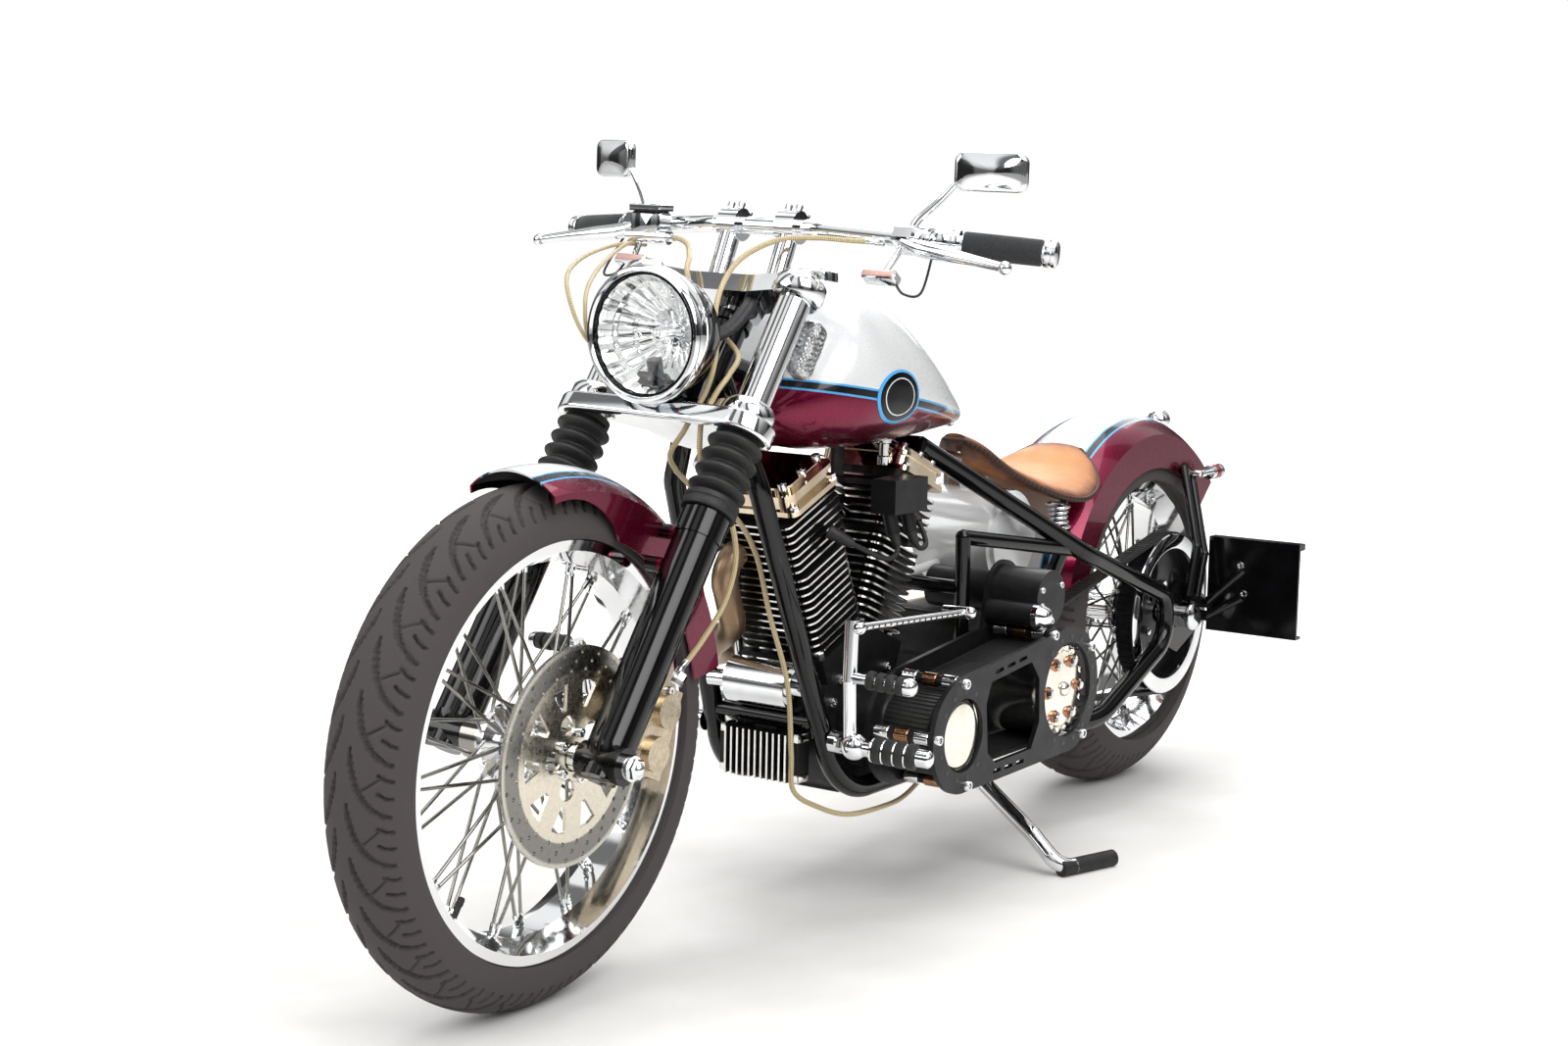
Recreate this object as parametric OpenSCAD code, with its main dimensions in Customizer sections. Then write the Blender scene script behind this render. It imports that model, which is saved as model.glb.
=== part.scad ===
// Bobber motorcycle with a rigid rear frame, leaning on its side stand.
// The motorcycle is drawn upright with the rear axle at x = 0, +X forward, +Y left,
// and is then leaned over and moved so that the floor is z = 0 under its middle.

/* [Stance] */
// Distance between the axles
wheelbase = 1640; // [1560:5:1720]
// Rake of the steering head, in degrees from upright
rake = 35; // [30:0.5:38]
// Distance of the fork legs ahead of the steering axis
fork_offset = 49; // [40:1:60]
// Steering angle as parked, to the left
steer_rest = 2.4; // [0:0.1:5]
// Lean to the left on the side stand
lean = 3; // [2:0.1:6]

/* [Wheels] */
// Outer radius of the front tyre
front_tyre_r = 350; // [330:1:360]
// Half width of the front tyre
front_tyre_half = 60; // [45:1:65]
// Outer radius of the rear tyre
rear_tyre_r = 328; // [315:1:340]
// Half width of the rear tyre
rear_tyre_half = 85; // [65:1:88]
// Bead seat radius of the front rim
front_bead_r = 267; // [255:1:275]
// Bead seat radius of the rear rim
rear_bead_r = 229; // [215:1:235]
// Wire spokes in each wheel
spoke_count = 40; // [24:4:60]
// Radius of a wire spoke
spoke_r = 2.4; // [1.6:0.1:3]
// Radius of both axles
axle_r = 12.5; // [9:0.5:14]
// Radius of the front brake disc
front_disc_r = 146; // [120:1:155]
// Radius of the rear brake disc
rear_disc_r = 130; // [110:1:146]

/* [Fork] */
// Half the distance between the fork legs
leg_half = 129.5; // [122:0.5:140]
// Radius of a lower fork leg
slider_r = 32; // [28:0.5:33]
// Radius of the chrome tube between the clamps
fork_tube_r = 24.5; // [20:0.5:27]
// Height of the gaiter's foot above the axle, along the fork
gaiter_low = 368; // [340:1:380]
// Height of the gaiter's top above the axle, along the fork
gaiter_high = 494; // [470:1:500]
// Middle of the lower clamp above the axle, along the fork
lower_clamp_s = 520; // [515:1:530]
// Middle of the upper clamp above the axle, along the fork
upper_clamp_s = 726; // [715:1:740]
// Thickness of the clamps
clamp_t = 32; // [24:1:36]

/* [Handlebar] */
// Radius of the handlebar tube
bar_r = 12.7; // [11:0.1:14]
// Half width of the handlebar
bar_half = 411; // [380:1:430]
// Radius of the grips
grip_r = 18; // [15:0.5:20]
// Length of the grips
grip_len = 118; // [100:1:130]
// Radius of the headlamp
lamp_r = 92; // [80:1:96]

/* [Frame] */
// Radius of the frame tubes
tube_r = 16; // [12:0.5:17]
// Half distance between the lower rails under the engine
rail_half = 105; // [102:1:110]
// Half distance between the axle plates
stay_half = 158; // [155:1:165]
// Thickness of the axle plates
axle_plate_t = 10; // [6:1:12]

/* [Engine] */
// Half width of a cooling fin
fin_half = 74; // [66:1:76]
// Thickness of a cooling fin
fin_t = 2.6; // [2:0.1:3.4]
// Fins on each barrel
barrel_fins = 11; // [8:1:13]
// Fins on each head
head_fins = 7; // [5:1:8]
// Angle between the cylinders
vee = 45; // [42:1:48]

/* [Drive] */
// Radius of the clutch lobe of the primary guard
guard_rear_r = 102; // [96:1:106]
// Radius of the crank lobe of the primary guard
guard_front_r = 88; // [84:1:92]
// Radius of the rear belt pulley
rear_pulley_r = 144; // [135:1:150]
// Teeth on the rear belt pulley
pulley_teeth = 66; // [50:2:72]

/* [Bodywork] */
// Half width of the fuel tank
tank_half = 162; // [145:1:168]
// Clearance between tyre and fender
fender_gap = 32; // [24:1:36]
// Thickness of the fender sheet
fender_t = 3; // [2:0.5:4]

/* [Hidden] */
$fn = 48;

// Gap between pieces that only touch
gap = 0.3;
// Radial clearance of a running shaft
run = 0.05;
// How far a bent tube's straights run into its bends, and how much fatter the bends are
bend_lap = 1.5;
bend_proud = 0.25;

// Crown centre circles of the tyres
front_ring_r = front_tyre_r - front_tyre_half;
rear_crown_r = rear_tyre_half + 6;
rear_ring_r = rear_tyre_r - rear_crown_r;

// Axle direction of the steered front wheel in the upright frame, then leaned
steer_axis = [-sin(rake), 0, cos(rake)];
steer_fwd = [cos(rake), 0, sin(rake)];
axle_dir = [-sin(steer_rest) * steer_fwd[0], cos(steer_rest), -sin(steer_rest) * steer_fwd[2]];
axle_dir_up = -axle_dir[1] * sin(lean) + axle_dir[2] * cos(lean);

// Axle heights that set both tyres on the floor once the motorcycle leans
rear_axle_z = rear_ring_r + rear_crown_r / cos(lean);
axle_shift = fork_offset * sin(steer_rest);
front_low = front_ring_r * sqrt(1 - axle_dir_up * axle_dir_up) + front_tyre_half;
front_axle_z = (front_low + axle_shift * sin(lean)) / cos(lean);

// Point of the steering axis level with the front axle
head_x = wheelbase - fork_offset * cos(rake);
head_z = front_axle_z - fork_offset * sin(rake);

// Middle of the object, so that the origin lies under it
mid_x = (wheelbase + front_tyre_r - rear_tyre_r) / 2;
bar_top_s = 895;
mid_y = (head_z + bar_top_s * cos(rake)) * sin(lean);

// Engine places
crank = [945, 280];
clutch = [620, 299];
deck = 140;
barrel_top = deck + 150;
head_top = barrel_top + 95;
engine_half = 75;

// Lateral planes of the drive
belt_in = 103;
belt_out = 133;
plate_y = 138;
plate_t = 8;
guard_y = 250;
guard_t = 8;

// Frame points on the left side, mirrored for the right
cradle = [
  [1252, 24, 815], [1228, 76, 660], [1052, rail_half, 186], [560, rail_half, 186], [310, stay_half, 186],
  [62, stay_half, 288], [62, stay_half, 372], [365, 150, 480], [735, 38, 684]
];
cradle_bends = [60, 110, 160, 160, 60, 45, 160];
seat_tube = [[692, 98, 538], [380, 136, 488]];
post_r = 12.5;
post_knee = [410, 90, 400];
// Seat of each saddle spring
spring_at = [385, 104, 520];
spring_h = 49.5;

// Rings of the fuel tank: x, half width, low z, widest z, high z
tank_rings = [
  [1190, 0.28, 752, 766, 780], [1172, 0.50, 733, 774, 800], [1137, 0.76, 714, 786, 846], [1100, 0.90, 706, 790, 896],
  [1060, 0.98, 701, 788, 936], [1000, 1.0, 699, 782, 952], [920, 0.95, 700, 772, 926], [820, 0.80, 703, 760, 866],
  [720, 0.57, 707, 745, 800], [640, 0.34, 710, 731, 754], [604, 0.16, 714, 724, 733]
];
// Rings of the seat: x, half width, middle low z, thickness, droop of the edge
seat_rings = [
  [562, 22, 672, 18, 2], [530, 46, 648, 30, 6], [470, 72, 612, 30, 12], [400, 112, 588, 30, 22],
  [340, 132, 578, 30, 22], [280, 124, 592, 28, 20], [235, 92, 616, 22, 14], [205, 50, 637, 12, 4]
];

function unit(v) = v / norm(v);
function flip(p) = [p[0], -p[1], p[2]];
function lerp(a, b, t) = a + (b - a) * t;
function floor_z(y) = y * tan(lean);

// Puts the upright motorcycle on the floor at its lean
module parked() {
  translate([-mid_x, -mid_y, 0]) rotate([-lean, 0, 0]) children();
}
// Fork space: X ahead of the steering axis, Y left, Z up along it
module steered() {
  parked() translate([head_x, 0, head_z]) rotate([0, -rake, 0]) rotate([0, 0, steer_rest]) children();
}
module both_sides() {
  children();
  mirror([0, 1, 0]) children();
}
// Straight round rod between two points
module rod(a, b, r) {
  d = b - a;
  translate(a) rotate([0, acos(d[2] / norm(d)), atan2(d[1], d[0])]) cylinder(h = norm(d), r = r);
}
// Cylinder along Y
module across(x, z, y0, y1, r) {
  translate([x, y0, z]) rotate([-90, 0, 0]) cylinder(h = y1 - y0, r = r);
}
// Flat plate drawn as x and z, standing between two y values
module upright_plate(y0, y1) {
  translate([0, y1, 0]) rotate([90, 0, 0]) linear_extrude(height = y1 - y0) children();
}
// Revolved about Y from a profile of radius and y
module wheel_turn() {
  rotate([-90, 0, 0]) rotate_extrude($fn = 96) children();
}

function corner_turn(p, i) = acos(unit(p[i] - p[i - 1]) * unit(p[i + 1] - p[i]));
function corner_cut(p, b, i) = i == 0 || i == len(p) - 1 ? 0 : b[i - 1] * tan(corner_turn(p, i) / 2);
// Bent round tube through a list of corner points, with one bend radius for each inner corner.
// Each bend is a hair fatter than the straights, which run a little way into it.
module bent_tube(p, b, r) {
  last = len(p) - 2;
  for (i = [0 : last]) {
    d = unit(p[i + 1] - p[i]);
    start = p[i] + d * (corner_cut(p, b, i) - (i > 0 ? bend_lap : 0));
    end = p[i + 1] - d * (corner_cut(p, b, i + 1) - (i < last ? bend_lap : 0));
    rod(start, end, r);
  }
  for (i = [1 : last]) {
    d = unit(p[i] - p[i - 1]);
    e = unit(p[i + 1] - p[i]);
    n = unit(e - d * (d * e));
    k = cross(d, n);
    c = p[i] - d * corner_cut(p, b, i) + n * b[i - 1];
    multmatrix([[-n[0], d[0], k[0], c[0]], [-n[1], d[1], k[1], c[1]], [-n[2], d[2], k[2], c[2]], [0, 0, 0, 1]])
      rotate_extrude(angle = corner_turn(p, i)) translate([b[i - 1], 0]) circle(r + bend_proud);
  }
}

// Closed skin over rings of equal length
module skin(rings) {
  m = len(rings[0]);
  n = len(rings);
  polyhedron(
    points = [for (ring = rings) each ring],
    faces = concat(
      [[for (j = [0 : m - 1]) j]],
      [for (i = [0 : n - 2], j = [0 : m - 1])
        [i * m + j, (i + 1) * m + j, (i + 1) * m + (j + 1) % m, i * m + (j + 1) % m]],
      [[for (j = [m - 1 : -1 : 0]) (n - 1) * m + j]]
    ),
    convexity = 4
  );
}
function power(v, e) = sign(v) * pow(abs(v), e);

// Smooth curve through hand-chosen points, four steps a span
function spline_at(p, i, t) =
  let (a = p[max(i - 1, 0)], b = p[i], c = p[i + 1], d = p[min(i + 2, len(p) - 1)])
  0.5 * (2 * b + (c - a) * t + (2 * a - 5 * b + 4 * c - d) * t * t + (3 * b - a - 3 * c + d) * t * t * t);
function smooth(p, steps) =
  [for (i = [0 : len(p) - 2], k = [0 : steps - 1]) spline_at(p, i, k / steps), p[len(p) - 1]];
function cord_dir(q, i) = unit(q[min(i + 1, len(q) - 1)] - q[max(i - 1, 0)]);
// Side direction of a cord's ring, carried along from ring to ring without twist
function cord_side(q, i) =
  let (d = cord_dir(q, i), s = i == 0 ? cross(d, [0.31, 0.53, 0.79]) : cord_side(q, i - 1))
  unit(s - d * (s * d));
// Cord swept along a route, with rings square to it
module cord(route, r, steps = 3, sides = 8) {
  q = smooth(route, steps);
  skin([for (i = [0 : len(q) - 1])
    let (s = cord_side(q, i), w = cross(s, cord_dir(q, i)))
    [for (j = [0 : sides - 1]) q[i] + r * (s * cos(360 * j / sides) + w * sin(360 * j / sides))]
  ]);
}

// Outline that wraps two circles, as x and z; the circles stand a hair proud of the straight runs
module wrap(a, ra, b, rb) {
  d = b - a;
  turn = atan2(d[1], d[0]);
  k = acos((ra - rb) / norm(d));
  up = [cos(turn + k), sin(turn + k)];
  low = [cos(turn - k), sin(turn - k)];
  translate(a) circle(ra + bend_proud, $fn = 96);
  translate(b) circle(rb + bend_proud, $fn = 96);
  polygon([a + ra * up, a + ra * low, b + rb * low, b + rb * up]);
}

// Wheels, drawn about their axle along Y
module tyre_profile(ring_r, crown_r, bead_r, bead_half) {
  difference() {
    intersection() {
      translate([ring_r, 0]) circle(crown_r, $fn = 96);
      translate([bead_r + gap, -200]) square([400, 400]);
    }
    for (s = [1, -1]) translate([bead_r - 20, s > 0 ? bead_half - gap : gap - bead_half - 100]) square([34, 100]);
  }
}
module rim_profile(bead_r, bead_half) {
  well = 14;
  wall = 5;
  polygon([
    [bead_r + 12, bead_half], [bead_r, bead_half], [bead_r - well, bead_half * 0.4],
    [bead_r - well, -bead_half * 0.4], [bead_r, -bead_half], [bead_r + 12, -bead_half],
    [bead_r + 12, -bead_half - 6], [bead_r - 2, -bead_half - 6], [bead_r - well - wall, -bead_half * 0.45],
    [bead_r - well - wall, bead_half * 0.45], [bead_r - 2, bead_half + 6], [bead_r + 12, bead_half + 6]
  ]);
}
module hub_profile(flange_r, flange_y, left_y, right_y) {
  bore = axle_r + run;
  polygon([
    [bore, -right_y], [30, -right_y], [30, -flange_y - 6], [flange_r, -flange_y - 6], [flange_r, -flange_y + 3],
    [28, -flange_y + 12], [28, flange_y - 12], [flange_r, flange_y - 3], [flange_r, flange_y + 6],
    [34, flange_y + 6], [34, left_y], [bore, left_y]
  ]);
}
module spokes(rim_r, flange_r, flange_y, rim_y) {
  groups = spoke_count / 4;
  for (g = [0 : groups - 1], side = [1, -1], way = [1, -1]) {
    turn = 360 / groups * (g + (side > 0 ? 0 : 0.5));
    hub_turn = turn + way * 4;
    rim_turn = turn + way * (360 / groups * 0.25 + 26);
    hub_y = side * (flange_y + way * 3.2);
    rod(
      [(flange_r - 5) * cos(hub_turn), hub_y, (flange_r - 5) * sin(hub_turn)],
      [rim_r * cos(rim_turn), side * rim_y, rim_r * sin(rim_turn)],
      spoke_r
    );
  }
}
module disc(r, inner_r, t, holes) {
  rotate([-90, 0, 0]) linear_extrude(height = t) difference() {
    circle(r, $fn = 96);
    circle(inner_r);
    for (i = [0 : holes - 1], row = [0, 1, 2])
      rotate(360 / holes * (i + row / 3)) translate([r - 9 - row * 11, 0]) circle(3, $fn = 16);
    for (i = [0 : 4]) rotate(72 * i + 36) translate([inner_r + 24, 0]) circle(15);
    for (i = [0 : 9]) rotate(36 * i) polygon([[66, -4], [r - 47, -16], [r - 44, 0], [r - 47, 16], [66, 4]]);
  }
}

front_bead_half = front_tyre_half - 14;
rear_bead_half = rear_tyre_half - 18;
front_hub_left = 74;
front_hub_right = 91;
rear_hub_left = 98;
rear_hub_right = 98;

module at_front_wheel() {
  steered() translate([fork_offset, 0, 0]) children();
}
module at_rear_wheel() {
  parked() translate([0, 0, rear_axle_z]) children();
}
module front_tyre() {
  color("#2b2623") at_front_wheel() wheel_turn()
    tyre_profile(front_ring_r, front_tyre_half, front_bead_r, front_bead_half);
}
module front_wire_wheel() {
  color("silver") at_front_wheel() {
    wheel_turn() rim_profile(front_bead_r, front_bead_half);
    wheel_turn() hub_profile(52, 36, front_hub_left, front_hub_right);
    spokes(front_bead_r - 16, 52, 36, 9);
  }
}
module front_disc() {
  color("lightgray") at_front_wheel() translate([0, front_hub_left + gap, 0]) disc(front_disc_r, 20, 5, 24);
}
module rear_tyre() {
  color("#2b2623") at_rear_wheel() wheel_turn()
    tyre_profile(rear_ring_r, rear_crown_r, rear_bead_r, rear_bead_half);
}
module rear_wire_wheel() {
  color("silver") at_rear_wheel() {
    wheel_turn() rim_profile(rear_bead_r, rear_bead_half);
    wheel_turn() hub_profile(62, 44, rear_hub_left, rear_hub_right);
    spokes(rear_bead_r - 16, 62, 44, 16);
  }
}
module rear_pulley() {
  color("#222222") at_rear_wheel() translate([0, rear_hub_left + gap, 0]) rotate([-90, 0, 0]) difference() {
    union() {
      linear_extrude(height = belt_out - rear_hub_left - gap) difference() {
        circle(rear_pulley_r - 1, $fn = 96);
        for (i = [0 : pulley_teeth - 1]) rotate(360 / pulley_teeth * i) translate([rear_pulley_r, 0])
          circle(2.6, $fn = 16);
      }
      translate([0, 0, belt_out - rear_hub_left - 1.1]) cylinder(h = 2.8, r = rear_pulley_r + 4, $fn = 96);
    }
    translate([0, 0, 12]) cylinder(h = 60, r = rear_pulley_r - 22, $fn = 96);
    translate([0, 0, -1]) cylinder(h = 60, r = axle_r + 6);
    for (i = [0 : 4]) rotate(72 * i) translate([rear_pulley_r - 62, 0, -1]) cylinder(h = 60, r = 24);
  }
}
module rear_disc() {
  color("lightgray") at_rear_wheel() translate([0, -rear_hub_right - gap - 5, 0]) disc(rear_disc_r, 20, 5, 24);
}

// Steering head and fork, in fork space
leg_x = fork_offset;
module front_axle() {
  color("silver") steered() {
    across(leg_x, 0, -leg_half - slider_r - 14, leg_half + slider_r + 14, axle_r);
    across(leg_x, 0, front_hub_left + 6, leg_half - slider_r - 1 - gap, 18);
    across(leg_x, 0, -leg_half + slider_r + 1 + gap, -front_hub_right - gap, 18);
    both_sides() across(leg_x, 0, leg_half + slider_r + 2, leg_half + slider_r + 14, 17);
  }
}
module fork_sliders() {
  color("#141416") steered() both_sides() difference() {
    union() {
      translate([leg_x, leg_half, 20]) cylinder(h = gaiter_low - 20 - gap, r = slider_r);
      translate([leg_x, leg_half, 20]) sphere(slider_r);
      translate([leg_x, leg_half, -24]) cylinder(h = 60, r = 24);
      across(leg_x, 0, leg_half - slider_r - 1, leg_half + slider_r + 2 - gap, 25);
      translate([leg_x, leg_half, gaiter_low - 40]) cylinder(h = 36, r = slider_r + 2);
    }
    across(leg_x, 0, leg_half - 60, leg_half + 60, axle_r + gap);
  }
}
module fork_gaiters() {
  folds = 5;
  pitch = (gaiter_high - gaiter_low - 24) / folds;
  color("#1c1c1c") steered() both_sides() translate([leg_x, leg_half, gaiter_low]) rotate_extrude() difference() {
    union() {
      square([27, gaiter_high - gaiter_low]);
      square([36, 14]);
      translate([0, gaiter_high - gaiter_low - 10]) square([32, 10]);
      for (i = [0 : folds - 1]) translate([26, 18 + pitch * (i + 0.5)]) circle(pitch * 0.5, $fn = 24);
    }
    translate([-50, -1]) square([50 + 20.5 + gap, 300]);
    translate([-100, -1]) square([100, 300]);
  }
}
module fork_tubes() {
  color("silver") steered() both_sides() translate([leg_x, leg_half, 0]) {
    translate([0, 0, gaiter_low]) cylinder(h = gaiter_high - gaiter_low, r = 20.5);
    translate([0, 0, gaiter_high]) cylinder(h = upper_clamp_s + clamp_t / 2 + 4 - gaiter_high, r = fork_tube_r);
    translate([0, 0, upper_clamp_s + clamp_t / 2 + 4]) cylinder(h = 9, r1 = 22, r2 = 16);
  }
}
stem_r = 18;
module clamp(s) {
  end_r = fork_tube_r + 13;
  edge = 9;
  translate([0, 0, s - clamp_t / 2]) difference() {
    union() {
      for (side = [1, -1]) translate([leg_x, side * leg_half, 0]) rotate_extrude() {
        square([end_r - edge, clamp_t]);
        translate([0, edge]) square([end_r, clamp_t - 2 * edge]);
        for (z = [edge, clamp_t - edge]) translate([end_r - edge, z]) circle(edge, $fn = 32);
      }
      translate([0, 0, 2]) linear_extrude(height = clamp_t - 4) {
        circle(stem_r + 18);
        polygon([[-30, -26], [-30, 26], [4, 56], [24, leg_half - 8], [76, leg_half - 10], [62, 50],
          [62, -50], [76, -leg_half + 10], [24, -leg_half + 8], [4, -56]]);
      }
    }
    for (side = [1, -1]) translate([leg_x, side * leg_half, -1]) cylinder(h = clamp_t + 2, r = fork_tube_r + gap);
  }
}
module triple_clamps() {
  color("silver") steered() {
    clamp(lower_clamp_s);
    clamp(upper_clamp_s);
    translate([0, 0, lower_clamp_s]) cylinder(h = upper_clamp_s + clamp_t / 2 + 10 - lower_clamp_s, r = stem_r);
    translate([0, 0, upper_clamp_s + clamp_t / 2 - 2]) cylinder(h = 16, r = 24);
  }
}

// Lamp space: Z forward and level, at the middle of the lens
lamp_at = [163, 0, 570];
module at_lamp() {
  steered() translate(lamp_at) rotate([0, 90 + rake, 0]) children();
}
lamp_depth = 104;
lamp_foot_s = lower_clamp_s + clamp_t / 2 - 2 + gap;
module headlamp_shell() {
  color("#17171a") at_lamp() {
    rotate_extrude() difference() {
      intersection() {
        union() {
          translate([0, -26]) circle(lamp_r - 4, $fn = 96);
          translate([0, -26]) square([lamp_r - 4, 22]);
          translate([0, -14]) square([lamp_r + 3, 18]);
        }
        translate([0, -lamp_depth]) square([200, lamp_depth + 10]);
      }
      translate([0, -22]) circle(lamp_r - 10, $fn = 96);
      translate([-1, -22]) square([lamp_r - 9, 60]);
      translate([-200, -200]) square([200, 400]);
    }
  }
  color("#17171a") steered() translate([lamp_at[0] - 62, 0, 0]) {
    rod([0, 0, lamp_foot_s + 3], [22, 0, lower_clamp_s + 36], 11);
    translate([-46, -24, lamp_foot_s]) cube([60, 48, 6]);
  }
}
module headlamp_lens() {
  color("#dde6ee") at_lamp() difference() {
    intersection() {
      translate([0, 0, -lamp_r * 1.75 + 16]) sphere(lamp_r * 1.75, $fn = 96);
      cylinder(h = 60, r = lamp_r - 10, center = true);
    }
    translate([0, 0, -lamp_r * 1.75 + 12]) sphere(lamp_r * 1.75, $fn = 96);
  }
}

// Handlebar in fork space
bar_mid = [18, 0, 852];
bar_bend_y = 92;
bar_end = [-79, bar_half, bar_top_s];
bar_dir = unit(bar_end - [bar_mid[0], bar_bend_y, bar_mid[2]]);
function on_bar(y) = bar_end - bar_dir * ((bar_half - y) / bar_dir[1]);
module handlebar() {
  color("silver") steered() {
    bent_tube([flip(bar_end), [bar_mid[0], -bar_bend_y, bar_mid[2]], [bar_mid[0], bar_bend_y, bar_mid[2]], bar_end],
      [70, 70], bar_r);
  }
}
riser_y = 50;
module bar_risers() {
  foot_s = upper_clamp_s + clamp_t / 2 - 2 + gap;
  color("silver") steered() both_sides() difference() {
    union() {
      translate([0, riser_y, foot_s]) cylinder(h = 14, r = 21);
      rod([0, riser_y, foot_s + 6], [bar_mid[0], riser_y, bar_mid[2] - 10], 15);
      across(bar_mid[0], bar_mid[2], riser_y - 16, riser_y + 16, 24);
    }
    across(bar_mid[0], bar_mid[2], riser_y - 40, riser_y + 40, bar_r + gap);
    translate([-60, riser_y - 60, foot_s - 40]) cube([120, 120, 40]);
  }
}
module grips() {
  color("#191919") steered() both_sides() difference() {
    union() {
      rod(on_bar(bar_half - grip_len), on_bar(bar_half - 4), grip_r);
      for (k = [0 : 6]) rod(on_bar(bar_half - 14 - k * 15), on_bar(bar_half - 20 - k * 15), grip_r + 1.2);
    }
    rod(on_bar(bar_half - grip_len - 20), on_bar(bar_half + 20), bar_r + gap);
  }
}
perch_y = 264;
module lever(tip) {
  bent_tube([on_bar(perch_y) + [32, -6, -10], on_bar(perch_y + 40) + [52, 0, -18], on_bar(tip) + [46, 0, -38]],
    [60], 6.5);
  translate(on_bar(tip) + [46, 0, -38]) sphere(10);
}
module hand_controls() {
  color("silver") steered() {
    both_sides() difference() {
      union() {
        rod(on_bar(perch_y - 14), on_bar(perch_y + 14), 20);
        rod(on_bar(perch_y) + [12, 0, -4], on_bar(perch_y) + [36, -6, -12], 13);
        lever(388);
      }
      rod(on_bar(perch_y - 60), on_bar(perch_y + 60), bar_r + gap);
    }
    difference() {
      translate(flip(on_bar(perch_y - 34)) + [34, 0, -4]) rotate([0, -20, -20]) union() {
        translate([-20, -30, 0]) cube([40, 62, 30]);
        translate([0, 1, 30]) cylinder(h = 8, r = 24);
      }
      rod(flip(on_bar(perch_y - 90)), flip(on_bar(perch_y + 60)), 20 + gap);
    }
  }
}
mirror_at = [7, 330, 969];
module mirrors() {
  color("silver") steered() both_sides() {
    difference() {
      bent_tube([on_bar(perch_y) + [14, 0, 10], on_bar(perch_y) + [26, 8, 50], mirror_at + [2, -22, -12]], [30], 5);
      rod(on_bar(perch_y - 60), on_bar(perch_y + 60), 20 + gap);
    }
    translate(mirror_at) rotate([0, 35, 0]) rotate([0, -90, 0]) translate([0, 0, -9]) linear_extrude(height = 18) {
      square([56, 84], center = true);
      square([36, 104], center = true);
      for (x = [-18, 18], y = [-42, 42]) translate([x, y]) circle(10);
    }
  }
}
module front_signals() {
  color("#c98f86") steered() both_sides() {
    rod(on_bar(perch_y - 34) + [0, 0, -13.6], on_bar(perch_y - 34) + [0, 0, -46], 4);
    rod(on_bar(perch_y - 34) + [-18, 0, -54], on_bar(perch_y - 34) + [22, 0, -54], 13);
  }
}
module front_caliper() {
  color("#c9bfae") steered() difference() {
    union() {
      translate([-74, 60, 96]) rotate([0, 12, 0]) translate([-30, 0, -62]) {
        cube([60, 42, 124]);
        for (z = [32, 92]) translate([30, 42, z]) rotate([-90, 0, 0]) cylinder(h = 9, r = 24);
      }
      translate([-60, 90, 58]) cube([110, 12, 76]);
    }
    across(leg_x, 0, front_hub_left - 8, front_hub_left + 14, front_disc_r + 5.5);
    translate([leg_x, leg_half, -10]) cylinder(h = 300, r = slider_r + gap);
  }
}
// Fender sheet as radius and y: a crowned top with skirts
module fender_profile(inner_r, half, skirt) {
  crown = half * 1.5;
  module outline(grow) {
    intersection() {
      translate([inner_r + grow - crown, 0]) circle(crown, $fn = 96);
      translate([inner_r - skirt, -half - grow]) square([skirt + 100, 2 * (half + grow)]);
    }
  }
  difference() {
    outline(fender_t);
    difference() {
      outline(0);
      translate([inner_r - skirt - 1, -400]) square([1, 800]);
    }
    translate([inner_r - skirt - 2, -half]) square([4, 2 * half]);
  }
}
module fender_arc(inner_r, half, skirt, from, to) {
  rotate([-90, 0, 0]) rotate([0, 0, -to]) rotate_extrude(angle = to - from, $fn = 128)
    fender_profile(inner_r, half, skirt);
}
front_fender_r = front_tyre_r + fender_gap - 12;
front_fender_half = front_tyre_half + 7;
module front_fender() {
  color("#7a1f2b") steered() {
    translate([leg_x, 0, 0]) difference() {
      fender_arc(front_fender_r, front_fender_half, 84, 48, 134);
      rotate([0, -52, 0]) across(213, 0, -200, 200, 123);
    }
    both_sides() for (s = [285, 335])
      across(leg_x, s, front_fender_half + fender_t - 0.5, leg_half - slider_r - 2 - gap, 10);
  }
}

// Cord routes in fork space and in the upright frame
brake_route = [
  [16, -196, 884], [50, -170, 862], [84, -120, 800], [90, -76, 744], [80, -56, 712], [58, -20, 676], [54, 30, 650],
  [60, 84, 610], [66, 95, 575], [86, 100, 524], [80, 94, 480], [40, 86, 446], [-30, 90, 428], [-96, 92, 384],
  [-116, 92, 320], [-104, 90, 250], [-84, 86, 186]
];
clutch_upper_route = [
  [46, 236, 858], [78, 196, 850], [88, 140, 806], [84, 104, 756], [86, 98, 700], [92, 96, 640], [98, 92, 590],
  [92, 74, 520], [76, 54, 482], [30, 16, 460], [-6, 8, 455]
];
clutch_lower_route = [
  [1325.5, 7.4, 684.2], [1290, 12, 658], [1232, 34, 620], [1194, 48, 560], [1176, 62, 470], [1160, 84, 370],
  [1164, 96, 270], [1168, 104, 215], [1130, 122, 186], [1060, 130, 162], [960, 130, 155], [900, 130, 160],
  [850, 132, 185], [838, 134, 215]
];
module brake_hose() {
  color("#c9b27a") steered() cord(brake_route, 3.5, 2);
}
module clutch_cable_upper() {
  color("#c9b27a") steered() cord(clutch_upper_route, 3.5, 2);
}
module clutch_cable_lower() {
  color("#c9b27a") parked() cord(clutch_lower_route, 3.5, 2);
}

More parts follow.
